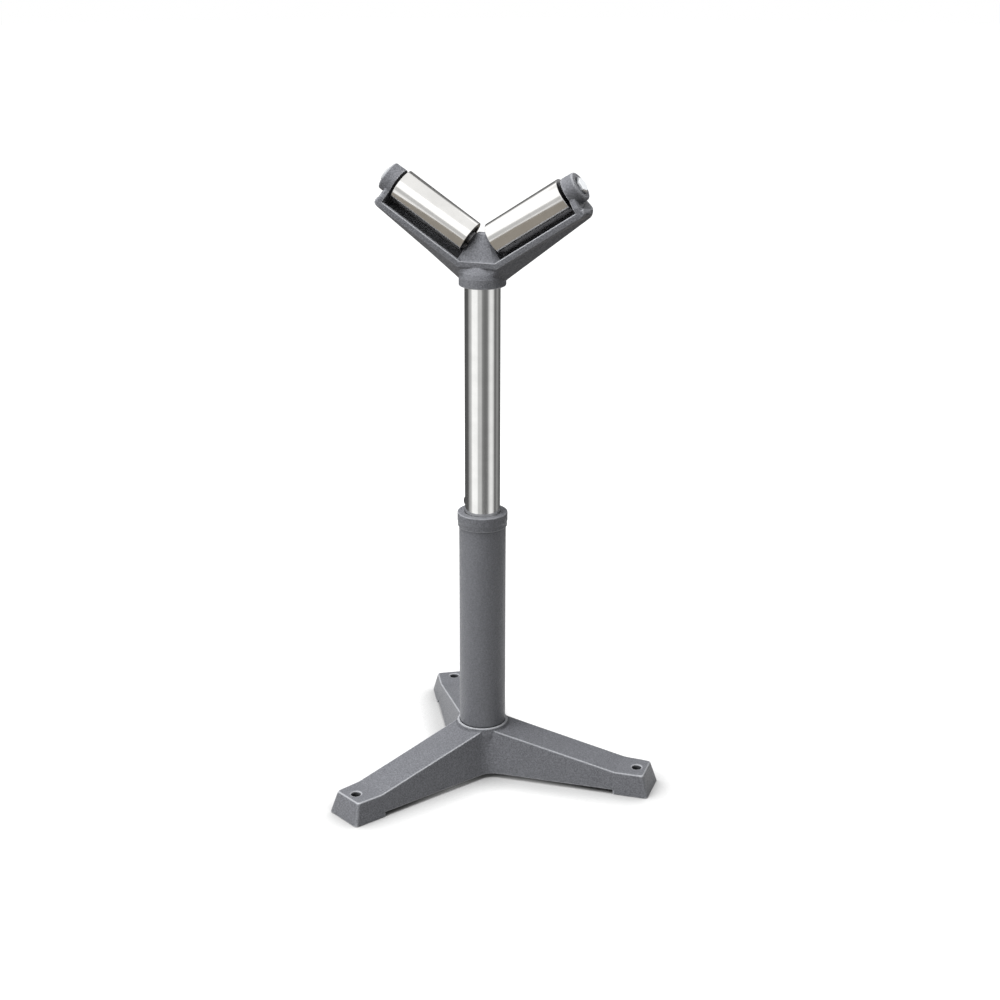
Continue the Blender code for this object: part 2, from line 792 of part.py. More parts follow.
def build_yoke(material):
    body = build_yoke_body()
    socket_top = HEAD_Z + SOCKET_HEIGHT
    crease_z = YOKE_KNEE_Z - RIM_BAND
    socket_r = socket_radius()
    neck_r = YOKE_HALF_WIDTH - NECK_INSET
    socket = turned(
        "socket",
        [
            (0.0, HEAD_Z),
            (socket_r - COLLAR_EDGE, HEAD_Z),
            (socket_r, HEAD_Z + COLLAR_EDGE),
            (socket_r, socket_top),
            (socket_r - (socket_r - neck_r) * 0.25, socket_top + (crease_z - socket_top) * 0.45),
            (neck_r + (socket_r - neck_r) * 0.35, socket_top + (crease_z - socket_top) * 0.8),
            (neck_r, crease_z + SEAT_GAP),
            (0.0, crease_z + SEAT_GAP),
        ],
        TUBE_FACETS,
    )
    combine(body, socket, "UNION")
    for side in (-1, 1):
        combine(body, build_pocket(side), "DIFFERENCE")
    for side in (-1, 1):
        combine(body, build_ear(side), "UNION")
        combine(body, build_ear_boss(side), "UNION")
    combine(body, build_web(), "UNION")
    for side in (-1, 1):
        hole_r = BEARING_BORE_D / 2 + SEAT_GAP
        hole = cutter("axle_hole", hole_r, AXLE_TIP - AXLE_TIP_GAP, boss_end(), SMALL_FACETS)
        combine(body, moved(hole, arm_matrix(side)), "DIFFERENCE")
        recess_start = boss_end() - BOLT_RECESS_DEPTH
        recess = cutter("bolt_recess", BOLT_RECESS_D / 2, recess_start, boss_end() + CUT_MARGIN, SMALL_FACETS)
        combine(body, moved(recess, arm_matrix(side)), "DIFFERENCE")
    bore_r = INNER_TUBE_D / 2 + SEAT_GAP
    bore = cutter("bore", bore_r, HEAD_Z - CUT_MARGIN, HEAD_Z + SOCKET_DEPTH, TUBE_FACETS)
    combine(body, bore, "DIFFERENCE")
    drill = cutter("drill", SET_SCREW_D / 2 + THREAD_GAP, 0.0, 2 * socket_radius(), SMALL_FACETS)
    combine(body, moved(drill, set_screw_matrix()), "DIFFERENCE")
    body.data.materials.clear()
    body.data.materials.append(material)
    return body


def set_screw_matrix():
    """Puts a piece's own +Z on the set screw's axis, out of the back of the socket."""
    return Matrix.Translation((0, 0, SET_SCREW_Z)) @ Matrix.Rotation(math.radians(-90), 4, "X")


def build_set_screw(material):
    """A headless screw with a hexagon socket, flush with the yoke and seated on the inner tube."""
    start = INNER_TUBE_D / 2 + SEAT_GAP
    end = socket_radius() - SET_SCREW_SINK
    body = turned(
        "yoke_set_screw",
        [
            (0.0, start),
            (SET_SCREW_D / 2 - TIP_CHAMFER, start),
            (SET_SCREW_D / 2, start + TIP_CHAMFER),
            (SET_SCREW_D / 2, end - SET_SCREW_CHAMFER),
            (SET_SCREW_D / 2 - SET_SCREW_CHAMFER, end),
            (0.0, end),
        ],
        SMALL_FACETS,
        material,
    )
    socket_floor = end - SET_SCREW_SOCKET_DEPTH
    socket = cutter("hex", SET_SCREW_SOCKET_D / 2, socket_floor, end + CUT_MARGIN, 6)
    combine(body, socket, "DIFFERENCE")
    moved(body, set_screw_matrix())
    return body


def side_name(side):
    return "left" if side < 0 else "right"


def bearing_spans():
    """The (start, end) of the inner and the outer bearing along the axle."""
    first = roller_start() + BEARING_RECESS
    last = roller_start() + ROLLER_LENGTH - BEARING_RECESS
    return (("inner", first, first + BEARING_WIDTH), ("outer", last - BEARING_WIDTH, last))


def build_roller(side, material):
    outer = ROLLER_D / 2
    seat_r = BEARING_OUTER_D / 2 + SEAT_GAP
    seat = BEARING_RECESS + BEARING_WIDTH + SEAT_GAP
    low = roller_start()
    high = roller_start() + ROLLER_LENGTH
    profile = [
        (seat_r, low),
        (outer - ROLLER_EDGE, low),
        (outer, low + ROLLER_EDGE),
        (outer, high - ROLLER_EDGE),
        (outer - ROLLER_EDGE, high),
        (seat_r, high),
        (seat_r, high - seat),
        (ROLLER_BORE_D / 2, high - seat),
        (ROLLER_BORE_D / 2, low + seat),
        (seat_r, low + seat),
    ]
    return turned(f"{side_name(side)}_roller", profile, ROLLER_FACETS, material)


def ball_circle_r():
    return (BEARING_BORE_D + BEARING_OUTER_D) / 4


def race_track(towards, middle):
    """The round track of a bearing ring, on the ball's inward (-1) or outward (1) side."""
    radius = BALL_D / 2 + RACE_GAP
    pitch = ball_circle_r()
    points = []
    for z in (-RACE_HALF_WIDTH, 0.0, RACE_HALF_WIDTH):
        points.append((pitch + towards * math.sqrt(radius**2 - z**2), middle + z))
    return points


def shoulder_r(towards):
    """The radius of a bearing ring's flat shoulders beside its track."""
    return race_track(towards, 0.0)[0][0]


def race_profile(towards, back_r, low, high):
    track = race_track(towards, (low + high) / 2)
    edge_r = shoulder_r(towards)
    return [(back_r, low), (back_r, high), (edge_r, high), *reversed(track), (edge_r, low)]


def build_bearing(side, place_name, low, high, materials):
    """One sealed ball bearing: inner ring, outer ring, and the balls in the cage that spaces them."""
    name = f"{side_name(side)}_{place_name}_bearing"
    ball_r = BALL_D / 2
    pitch = ball_circle_r()
    middle = (low + high) / 2
    inner = race_profile(-1, BEARING_BORE_D / 2 + SEAT_GAP / 2, low, high)
    outer = race_profile(1, BEARING_OUTER_D / 2, low, high)
    steel = materials["bearing_steel"]
    inner_ring = turned(name + "_inner_ring", inner, RING_FACETS, steel)
    outer_ring = turned(name + "_outer_ring", outer, RING_FACETS, steel)

    half = CAGE_THICKNESS / 2
    start = middle - CAGE_WIDTH / 2
    end = middle + CAGE_WIDTH / 2
    cage = tube(name + "_ball_cage", pitch - half, pitch + half, start, end, CAGE_FACETS, steel)
    for k in range(BALL_COUNT):
        angle = 360 * (k + CUTTER_PHASE) / BALL_COUNT
        ball = turned("ball", half_circle(ball_r), BALL_FACETS)
        moved(ball, Matrix.Translation((pitch * cosd(angle), pitch * sind(angle), middle)))
        combine(cage, ball, "UNION")
    return inner_ring, outer_ring, cage


def half_circle(radius):
    """A ball's profile, from pole to pole."""
    inner = [(radius * cosd(a), radius * sind(a)) for a in (-45, 0, 45)]
    return [(0.0, -radius), *inner, (0.0, radius)]


def build_seals(side, material):
    """The rubber seals of one roller's bearings, each a flat ring between the bearing's rings."""
    inner = shoulder_r(-1) + SEAT_GAP
    outer = shoulder_r(1) - SEAT_GAP
    seals = []
    for bearing, low, high in bearing_spans():
        name = f"{side_name(side)}_{bearing}_bearing_seal"
        starts = {"a": low + SEAT_GAP, "b": high - SEAT_GAP - SEAL_THICKNESS}
        for mark, start in starts.items():
            end = start + SEAL_THICKNESS
            seals.append(tube(f"{name}_{mark}", inner, outer, start, end, RING_FACETS, material))
    return seals


def build_axle_pieces(side, materials):
    """What the axle bolt clamps between the web and the ear, and the bolt itself."""
    name = side_name(side)
    (_, first, first_end), (_, last_start, last) = bearing_spans()
    hole_r = BEARING_BORE_D / 2 + SEAT_GAP / 2
    washer_start = boss_end() - BOLT_RECESS_DEPTH + SEAT_GAP
    washer_end = washer_start + WASHER_THICKNESS
    steel = materials["zinc_plate"]

    def ring(piece, outer_r, start, end):
        return tube(f"{name}_{piece}", hole_r, outer_r, start, end, SMALL_FACETS, steel)

    return [
        ring("inner_spacer", hole_r + SPACER_WALL, WEB_FACE + SEAT_GAP, first - SEAT_GAP),
        ring("axle_sleeve", hole_r + SLEEVE_WALL, first_end + SEAT_GAP, last_start - SEAT_GAP),
        ring("outer_spacer", hole_r + SPACER_WALL, last + SEAT_GAP, ear_inner() - SEAT_GAP),
        ring("axle_washer", WASHER_D / 2, washer_start, washer_end),
        build_axle_bolt(name, washer_end + SEAT_GAP, steel),
    ]


def build_axle_bolt(name, head_start, material):
    """A hexagon bolt whose long shank is the roller's axle and whose tip screws into the web."""
    shank_r = AXLE_D / 2
    shank = turned(
        f"{name}_axle_bolt",
        [
            (0.0, AXLE_TIP),
            (shank_r - TIP_CHAMFER, AXLE_TIP),
            (shank_r, AXLE_TIP + TIP_CHAMFER),
            (shank_r, head_start + BOLT_HEAD_HEIGHT / 2),
            (0.0, head_start + BOLT_HEAD_HEIGHT / 2),
        ],
        SMALL_FACETS,
        material,
    )
    corner_r = BOLT_HEAD_WIDTH / 2 / cosd(30)
    top = head_start + BOLT_HEAD_HEIGHT
    head = rod("head", corner_r, head_start, top, 6)
    crown = turned(
        "crown",
        [
            (0.0, head_start - TIP_CHAMFER),
            (corner_r + TIP_CHAMFER, head_start - TIP_CHAMFER),
            (corner_r + TIP_CHAMFER, top - BOLT_HEAD_CHAMFER),
            (BOLT_HEAD_WIDTH / 2 - SEAT_GAP, top + SEAT_GAP),
            (0.0, top + SEAT_GAP),
        ],
        SMALL_FACETS,
    )
    combine(head, crown, "INTERSECT")
    combine(shank, head, "UNION")
    return shank


def build_clamp(materials):
    """The clamp's pieces along its own axis: pad, screw, handle, spring and retaining screw."""
    thread_r = CLAMP_THREAD_D / 2
    pad_start = INNER_TUBE_D / 2 + SEAT_GAP
    pad_end = pad_start + PAD_LENGTH
    pad = rod("clamp_pad", thread_r - 3 * SEAT_GAP, pad_start, pad_end, SMALL_FACETS, materials["brass"])

    insert_r = CLAMP_INSERT_D / 2
    insert_end = clamp_insert_start() + CLAMP_INSERT_LENGTH
    screw_start = pad_end + SEAT_GAP
    screw = turned(
        "clamp_screw",
        [
            (0.0, screw_start),
            (thread_r - TIP_CHAMFER, screw_start),
            (thread_r, screw_start + TIP_CHAMFER),
            (thread_r, clamp_insert_start()),
            (insert_r, clamp_insert_start()),
            (insert_r, insert_end),
            (0.0, insert_end),
        ],
        SMALL_FACETS,
        materials["zinc_plate"],
    )
    drill_start = insert_end - RETAINER_GRIP
    drill = cutter("drill", RETAINER_D / 2 + THREAD_GAP, drill_start, insert_end + CUT_MARGIN, SMALL_FACETS)
    combine(screw, drill, "DIFFERENCE")

    shoulder = insert_end + SEAT_GAP
    spring_start = shoulder + HANDLE_SHOULDER
    head_start = spring_start + HANDLE_SPRING_LENGTH
    head_end = head_start + RETAINER_HEAD_HEIGHT
    hub_start = clamp_insert_start() - HANDLE_HUB_OVERLAP
    hub_end = head_end + HANDLE_HUB_OVERLAP
    handle = build_handle(hub_start, hub_end, materials["handle_black"])
    pocket_r = RETAINER_HEAD_D / 2 + 2 * SEAT_GAP
    through = turned(
        "through",
        [
            (0.0, hub_start - CUT_MARGIN),
            (insert_r + SEAT_GAP, hub_start - CUT_MARGIN),
            (insert_r + SEAT_GAP, shoulder),
            (RETAINER_D / 2 + SEAT_GAP, shoulder),
            (RETAINER_D / 2 + SEAT_GAP, spring_start),
            (pocket_r, spring_start),
            (pocket_r, hub_end + CUT_MARGIN),
            (0.0, hub_end + CUT_MARGIN),
        ],
        SMALL_FACETS,
    )
    combine(handle, through, "DIFFERENCE")

    retainer = turned(
        "handle_retaining_screw",
        [
            (0.0, drill_start + SEAT_GAP),
            (RETAINER_D / 2, drill_start + SEAT_GAP),
            (RETAINER_D / 2, head_start),
            (RETAINER_HEAD_D / 2, head_start),
            (RETAINER_HEAD_D / 2, head_end - RETAINER_CHAMFER),
            (RETAINER_HEAD_D / 2 - RETAINER_CHAMFER, head_end),
            (0.0, head_end),
        ],
        SMALL_FACETS,
        materials["zinc_plate"],
    )
    socket_floor = head_end - RETAINER_SOCKET_DEPTH
    socket = cutter("hex", RETAINER_SOCKET_D / 2, socket_floor, head_end + CUT_MARGIN, 6)
    combine(retainer, socket, "DIFFERENCE")
    spring = build_spring(spring_start + SEAT_GAP, head_start - SEAT_GAP, materials["zinc_plate"])
    return pad, screw, handle, retainer, spring


def build_handle(hub_start, hub_end, material):
    """The lever: a round hub and an arm that hangs down and leans away from the column."""
    hub_r = HANDLE_HUB_D / 2
    round_r = HANDLE_HUB_ROUND
    body = turned(
        "clamp_handle",
        [
            (0.0, hub_start),
            (hub_r - round_r, hub_start),
            (hub_r, hub_start + round_r),
            (hub_r, hub_end - round_r),
            (hub_r - round_r, hub_end),
            (0.0, hub_end),
        ],
        SMALL_FACETS,
        material,
    )
    rings = []
    sides = 12
    root = (hub_start + hub_end) / 2
    stations = 9
    for k in range(stations):
        share = k / (stations - 1)
        swell = 0.80 + 0.20 * math.cos(math.tau * share) if share < 0.85 else 0.97
        end_scale = math.sqrt(max(0.0, 1 - max(0.0, (share - 0.86) / 0.145) ** 2))
        wide = HANDLE_WIDTH / 2 * swell * end_scale
        thick = HANDLE_THICKNESS / 2 * swell * end_scale
        down = HANDLE_LENGTH * share
        out = root + HANDLE_LEAN * share
        ring = []
        for i in range(sides):
            turn = 360 * i / sides
            ring.append((down, wide * cosd(turn), out + thick * sind(turn)))
        rings.append(ring)
    combine(body, lofted("arm", rings), "UNION")
    return body


def build_spring(low, high, material):
    """A compression spring: one round wire wound round the retaining screw."""
    wire_r = SPRING_WIRE_D / 2
    coil_r = (RETAINER_D / 2 + SEAT_GAP + RETAINER_HEAD_D / 2) / 2
    steps = int(SPRING_TURNS * 10)
    rings = []
    for k in range(steps + 1):
        angle = math.tau * SPRING_TURNS * k / steps
        height = low + wire_r + (high - low - SPRING_WIRE_D) * k / steps
        outward = Vector((math.cos(angle), math.sin(angle), 0))
        centre = outward * coil_r + Vector((0, 0, height))
        ring = []
        for i in range(WIRE_FACETS):
            turn = math.tau * i / WIRE_FACETS
            rise = Vector((0, 0, wire_r * math.sin(turn)))
            ring.append(centre + outward * (wire_r * math.cos(turn)) + rise)
        rings.append(ring)
    return lofted("handle_spring", rings, material)


def column_offset():
    """How far behind the origin the column stands, so that the origin is the middle of the base."""
    foot_x = LEG_REACH * cosd(60) + LEG_FOOT_HALF_WIDTH * sind(60)
    return -(LEG_REACH - foot_x) / 2


def build():
    clear_scene()
    materials = make_materials()
    column = empty("column_axis", Matrix.Translation((column_offset(), 0, 0)))
    clamp = empty("clamp_axis", clamp_matrix(), column)
    arms = {side: empty(f"{side_name(side)}_roller_axis", arm_matrix(side), column) for side in (-1, 1)}

    for piece in (
        build_base_casting(materials["casting_paint"]),
        build_outer_tube(materials["tube_paint"]),
        build_collar(materials["tube_paint"]),
        build_guide_bush(materials["guide_nylon"]),
        build_guide_ring(materials["guide_nylon"]),
        build_inner_tube(materials["chromed_steel"]),
        build_yoke(materials["casting_paint"]),
        build_set_screw(materials["bearing_steel"]),
    ):
        place(piece, column)
    for name, groove in zip(("lower_circlip", "upper_circlip"), groove_heights()):
        place(build_circlip(name, groove, materials["bearing_steel"]), column)
    for piece in build_clamp(materials):
        place(piece, clamp)
    for side, axis in arms.items():
        place(build_roller(side, materials["roller_steel"]), axis)
        for seal in build_seals(side, materials["seal_rubber"]):
            place(seal, axis)
        for place_name, low, high in bearing_spans():
            for piece in build_bearing(side, place_name, low, high, materials):
                place(piece, axis)
        for piece in build_axle_pieces(side, materials):
            place(piece, axis)


build()
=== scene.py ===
"""Looks for the roller stand: smooth castings, turned metal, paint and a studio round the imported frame."""
import json
import math

import bmesh
import bpy
from mathutils import Matrix, Vector


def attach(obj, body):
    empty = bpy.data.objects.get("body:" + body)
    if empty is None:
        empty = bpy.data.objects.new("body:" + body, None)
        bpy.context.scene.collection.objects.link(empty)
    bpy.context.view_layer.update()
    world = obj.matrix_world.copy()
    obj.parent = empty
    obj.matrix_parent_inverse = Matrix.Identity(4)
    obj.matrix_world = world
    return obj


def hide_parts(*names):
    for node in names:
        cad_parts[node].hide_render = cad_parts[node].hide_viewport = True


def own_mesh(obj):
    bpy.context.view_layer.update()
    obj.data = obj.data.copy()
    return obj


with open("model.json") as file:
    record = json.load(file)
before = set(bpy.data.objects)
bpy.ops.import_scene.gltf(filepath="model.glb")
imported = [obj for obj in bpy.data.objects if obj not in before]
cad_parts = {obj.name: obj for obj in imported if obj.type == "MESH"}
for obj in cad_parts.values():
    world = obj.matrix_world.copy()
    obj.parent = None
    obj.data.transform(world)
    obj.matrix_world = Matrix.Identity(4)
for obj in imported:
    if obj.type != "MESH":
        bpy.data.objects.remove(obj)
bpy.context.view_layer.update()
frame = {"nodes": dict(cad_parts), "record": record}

# Where the column stands, and the photograph's viewpoint round it
COLUMN_X = -0.0465005
VIEW_TURN = 18.9
VIEW_DROP = 17.9
VIEW_DISTANCE = 2.1
VIEW_HEIGHT = 1.1195
SENSOR = 36.0
LENS = 62.557
SHIFT_X = 0.0175
SHIFT_Y = -0.05

# Fits between pieces
SEAT_GAP = 0.0003
SLIDE_GAP = 0.0003
CUT_MARGIN = 0.01
CUTTER_PHASE = 0.37

# Base casting
LEG_ANGLES = (0.0, 120.0, 240.0)
LEG_REACH = 0.2345
LEG_FOOT_HALF_WIDTH = 0.028
LEG_TAPER = 0.0475
LEG_SIDE_DRAFT = 0.21
LEG_END_DRAFT = 0.29
LEG_SLOPE = 0.1986
FOOT_HEIGHT = 0.0289
FOOT_TOP_LENGTH = 0.0368
FOOT_PAD_LENGTH = 0.046
FOOT_PAD_STEP = 0.0055
FOOT_HOLE_D = 0.0125
FOOT_HOLE_INSET = 0.022
FOOT_CORNER_R = 0.004
ROOF_SPREAD = 1.2
ROOF_DEPTH = 1.5
CROTCH_R_FLOOR = 0.026
CROTCH_R_DRAFT = 0.13
CASTING_WALL = 0.0065
HUB_WALL = 0.0032
HUB_RING_HEIGHT = 0.0055
HUB_RING_ROUND = 0.0012
HUB_RING_CORNER = (0.35, 0.3)
HUB_ROOT_DEPTH = 1.6
HUB_LEDGE = 0.006
OUTER_TUBE_FOOT_Z = 0.020

# Column
BUSH_WALL = 0.00305
OUTER_TUBE_WALL = 0.004
INNER_TUBE_D = 0.045
INNER_TUBE_WALL = 0.003
INNER_TUBE_BOTTOM = 0.1854
COLLAR_TOP_Z = 0.3592
COLLAR_HEIGHT = 0.0188
COLLAR_WALL = 0.0018
COLLAR_LIP = 0.003
COLLAR_EDGE = 0.0012
COLLAR_BREAK = 0.0003
COLLAR_BAND = (0.28, 0.40)
COLLAR_RIM_STEPS = (3.0, 1.2, 0.6)
COLLAR_BOSS_D = 0.021
COLLAR_BOSS_LENGTH = 0.01075
COLLAR_BOSS_ROUND = 0.0015

# Clamp
CLAMP_ANGLE = 120.0
CLAMP_Z = 0.3485
CLAMP_THREAD_D = 0.010
CLAMP_INSERT_D = 0.014
CLAMP_INSERT_GAP = 0.004
CLAMP_INSERT_LENGTH = 0.012
HANDLE_HUB_D = 0.022
HANDLE_HUB_OVERLAP = 0.001
HANDLE_HUB_ROUND = 0.0015
HANDLE_SHOULDER = 0.002
HANDLE_LENGTH = 0.072
HANDLE_WIDTH = 0.013
HANDLE_THICKNESS = 0.009
HANDLE_LEAN = 0.012
HANDLE_MIDDLE = 0.80
HANDLE_SWELL = 0.20
HANDLE_END = 0.85
HANDLE_END_WIDTH = 0.97
HANDLE_TIP = (0.86, 0.145)
HANDLE_SPRING_LENGTH = 0.010
SPRING_WIRE_D = 0.0009
SPRING_TURNS = 4.5
RETAINER_D = 0.005
RETAINER_HEAD_D = 0.0105
RETAINER_HEAD_HEIGHT = 0.003

# Head
HEAD_Z = 0.6547
SOCKET_WALL = 0.0067
SOCKET_HEIGHT = 0.0115
SOCKET_DEPTH = 0.020
V_TILT = 33.5
V_APEX_HEIGHT = 0.0475
RIM_DROP = 0.0251
REAR_RIM_RISE = 0.006
RIM_BAND = 0.007
RIM_CREASE = 0.0018
NECK_INSET = 0.0002
NECK_START = (0.25, 0.45)
NECK_END = (0.35, 0.8)
APRON_STEPS = 8
APRON_TAPER = 0.002
APRON_SQUARE = 5.0
YOKE_HALF_WIDTH = 0.0215
YOKE_WALL = 0.004
YOKE_KNEE_Z = 0.6873
KEEL_HALF_WIDTH = 0.0055
KEEL_FLAT = 0.6
KEEL_LIFT = 0.5
KEEL_END_DROP = 0.0386
END_SHARES = (0.0, 0.08, 0.2, 0.35, 0.6, 1.0)
END_RISE = 0.6
END_ROUND = 0.009
END_CORNER = 0.004
KEEL_ROOT_X = 0.0225
KEEL_ROOT_Z = 0.6562
POCKET_DEPTH = 0.006
POCKET_CORNER = 0.004
POCKET_END_ROUND = 0.007
EAR_THICKNESS = 0.008
EAR_R = 0.019
EAR_ARC_BELOW = 25.0
EAR_FLARE = 0.18
EAR_FLARE_START = 0.018
EAR_STEP = 0.0004
EAR_FACETS = 48
EAR_ROUNDING = ((0.0, 0.0), (0.55, 0.0), (0.75, 0.15), (0.9, 0.5), (1.0, 1.0))
EAR_BOSS_R = 0.0187
EAR_BOSS_HEIGHT = 0.009
EAR_BOSS_ROUND = 0.0022
BOLT_RECESS_D = 0.0225
BOLT_RECESS_DEPTH = 0.0065
WEB_FACE = 0.0158
WEB_TOP_Z = 0.7205
WEB_TOP_EDGE = 0.001
WEB_TOP_HALF_X = 0.0045
WEB_TOP_HALF_Y = 0.005
WEB_FRONT_HALF_X = 0.0225
WEB_PAD_HALF_Y = 0.015
WEB_PAD_TOP = 0.9
SET_SCREW_D = 0.008
SET_SCREW_Z = 0.6625

# Rollers and their bolts
ROLLER_D = 0.043
ROLLER_LENGTH = 0.108
WEB_CLEARANCE = 0.0036
ROLLER_EDGE = 0.0008
ROLLER_BARREL = 0.6
ROLLER_BORE_D = 0.029
BEARING_OUTER_D = 0.032
BEARING_WIDTH = 0.010
BEARING_RECESS = 0.0015
EAR_CLEARANCE = 0.004
AXLE_HOLE_D = 0.0126
AXLE_D = 0.0118
AXLE_TIP = 0.006
AXLE_TIP_GAP = 0.001
WASHER_THICKNESS = 0.002
BOLT_HEAD_WIDTH = 0.018
BOLT_HEAD_HEIGHT = 0.0075
BOLT_HEAD_CHAMFER = 0.0012
BOLT_CROWN_MARGIN = 0.002
BOLT_CROWN_DEPTH = 1.6
BOLT_CROWN_WIDTH = 0.93
BOLT_BEVEL = 0.0002
BOLT_SHARP_ANGLE = 25

# How fine the shown meshes are
FINE = 160
HOLE_FACETS = 48
SMALL = 64
CORNER_STEPS = 10
BEND_STEPS = 6
HANDLE_STATIONS = 33
HANDLE_FACETS = 32
SPRING_STEPS = 32
SPRING_FACETS = 12
SHARP_ANGLE = 32
WELD_DISTANCE = 0.000001
MERGE_DISTANCE = 0.00001

# Skins of the castings: voxel size, passes of rounding, and share of the faces that is kept
CAST_SMOOTHING = 0.5
BASE_SKIN = (0.001, 4, 0.22)
COLLAR_SKIN = (0.00045, 1, 0.2)
YOKE_SKIN = (0.0006, 3, 0.2)
HANDLE_SKIN = (0.0005, 3, 0.3)


def cosd(angle):
    return math.cos(math.radians(angle))


def sind(angle):
    return math.sin(math.radians(angle))


def finish_object(name, bm):
    bmesh.ops.remove_doubles(bm, verts=bm.verts, dist=WELD_DISTANCE)
    bmesh.ops.recalc_face_normals(bm, faces=bm.faces)
    mesh = bpy.data.meshes.new(name)
    bm.to_mesh(mesh)
    bm.free()
    obj = bpy.data.objects.new(name, mesh)
    bpy.context.scene.collection.objects.link(obj)
    mesh.shade_smooth()
    mesh.set_sharp_from_angle(angle=math.radians(SHARP_ANGLE))
    return obj


def turned(name, profile, facets=FINE, phase=0.0):
    """A turned piece: profile holds (radius, height) points, and ends on the axis close the piece."""
    bm = bmesh.new()
    angles = [math.tau * (k + phase) / facets for k in range(facets)]
    rings = []
    for r, z in profile:
        if r > 0.0:
            rings.append([bm.verts.new((r * math.cos(a), r * math.sin(a), z)) for a in angles])
    pairs = list(zip(rings, rings[1:]))
    if profile[0][0] > 0.0:
        pairs.append((rings[-1], rings[0]))
    for lower, upper in pairs:
        for i in range(facets):
            j = (i + 1) % facets
            bm.faces.new((lower[i], lower[j], upper[j], upper[i]))
    if profile[0][0] == 0.0:
        bm.faces.new(rings[0])
        bm.faces.new(rings[-1])
    return finish_object(name, bm)


def rod(name, radius, low, high, facets=SMALL, phase=0.0):
    return turned(name, [(0.0, low), (radius, low), (radius, high), (0.0, high)], facets, phase)


def cutter(name, radius, low, high, facets=HOLE_FACETS):
    """A rod whose facets stand askew to those that it cuts, so that no two of them coincide."""
    return rod(name, radius, low, high, facets, CUTTER_PHASE)


def tube(name, outer, wall, low, high):
    return turned(name, [(outer - wall, low), (outer, low), (outer, high), (outer - wall, high)])


def lofted(name, rings):
    """A solid whose skin runs through rings of as many points each, closed by its first and last."""
    bm = bmesh.new()
    loops = [[bm.verts.new(point) for point in ring] for ring in rings]
    count = len(rings[0])
    for lower, upper in zip(loops, loops[1:]):
        for i in range(count):
            j = (i + 1) % count
            bm.faces.new((lower[i], lower[j], upper[j], upper[i]))
    bm.faces.new(loops[0])
    bm.faces.new(loops[-1])
    return finish_object(name, bm)


def apply_modifiers(obj):
    bpy.context.view_layer.update()
    graph = bpy.context.evaluated_depsgraph_get()
    mesh = bpy.data.meshes.new_from_object(obj.evaluated_get(graph))
    obj.modifiers.clear()
    obj.data = mesh
    mesh.name = obj.name


def combine(body, tool, operation):
    """Unites, cuts or intersects the body with the tool, and takes the tool away."""
    modifier = body.modifiers.new(operation.title(), "BOOLEAN")
    modifier.object = tool
    modifier.operation = operation
    apply_modifiers(body)
    bm = bmesh.new()
    bm.from_mesh(body.data)
    bmesh.ops.remove_doubles(bm, verts=bm.verts, dist=MERGE_DISTANCE)
    bm.to_mesh(body.data)
    bm.free()
    bpy.data.objects.remove(tool)


def moved(obj, matrix):
    obj.data.transform(matrix)
    return obj


def cast_skin(obj, voxel, rounding, keep):
    """Rounds every edge and corner as a sand casting's are, and thins out the mesh on its flat faces."""
    remesh = obj.modifiers.new("Remesh", "REMESH")
    remesh.mode = "VOXEL"
    remesh.voxel_size = voxel
    remesh.use_smooth_shade = True
    smooth = obj.modifiers.new("Smooth", "SMOOTH")
    smooth.factor = CAST_SMOOTHING
    smooth.iterations = rounding
    thin = obj.modifiers.new("Thin", "DECIMATE")
    thin.ratio = keep
    apply_modifiers(obj)
    obj.data.shade_smooth()
    return obj


def arc(centre_r, centre_z, radius, start, end, steps=BEND_STEPS):
    """Points of a rounded edge in a turned profile."""
    points = []
    for k in range(steps + 1):
        turn = start + (end - start) * k / steps
        points.append((centre_r + radius * cosd(turn), centre_z + radius * sind(turn)))
    return points


def filleted(corners, radii, steps):
    """The closed outline through the corners, each rounded to its radius by an arc of as many steps."""
    points = []
    count = len(corners)
    for i, corner in enumerate(corners):
        here = Vector(corner)
        before = (Vector(corners[i - 1]) - here).normalized()
        after = (Vector(corners[(i + 1) % count]) - here).normalized()
        half = before.angle(after) / 2
        middle = (before + after).normalized()
        centre = here + middle * (radii[i] / math.sin(half))
        start = here + before * (radii[i] / math.tan(half)) - centre
        end = here + after * (radii[i] / math.tan(half)) - centre
        turn = start.angle_signed(end)
        for k in range(steps + 1):
            arm = start.copy()
            arm.rotate(Matrix.Rotation(-turn * k / steps, 2))
            points.append(centre + arm)
    return points


# Base casting
def leg_half_width(reach, height):
    return LEG_FOOT_HALF_WIDTH + LEG_TAPER * (LEG_REACH - reach) - LEG_SIDE_DRAFT * height


def star_outline(height, inset, reach):
    """The outline of the three legs at a height, drawn in by an inset and ended at a reach."""
    end = reach - LEG_END_DRAFT * height
    hub_width = leg_half_width(0.0, height) - inset
    crotch = hub_width / (sind(60) + LEG_TAPER * cosd(60))
    crotch_r = CROTCH_R_FLOOR - CROTCH_R_DRAFT * height
    corners = []
    radii = []
    for angle in LEG_ANGLES:
        along = Vector((cosd(angle), sind(angle)))
        across = Vector((-sind(angle), cosd(angle)))
        half = leg_half_width(end, height) - inset
        corners += [along * end - across * half, along * end + across * half]
        corners.append(Vector((cosd(angle + 60), sind(angle + 60))) * crotch)
        radii += [FOOT_CORNER_R, FOOT_CORNER_R, crotch_r]
    return [(point.x, point.y, height) for point in filleted(corners, radii, CORNER_STEPS)]


def star(name, low, high, inset, reach):
    return lofted(name, [star_outline(z, inset, reach) for z in (low, high)])


def triangle(reach, height):
    """The corners of a triangle whose sides stand square to the legs, at a reach."""
    return [(cosd(a + 60) * reach * 2, sind(a + 60) * reach * 2, height) for a in LEG_ANGLES]


def triangle_prism(name, reach, low, high):
    return lofted(name, [triangle(reach, z) for z in (low, high)])


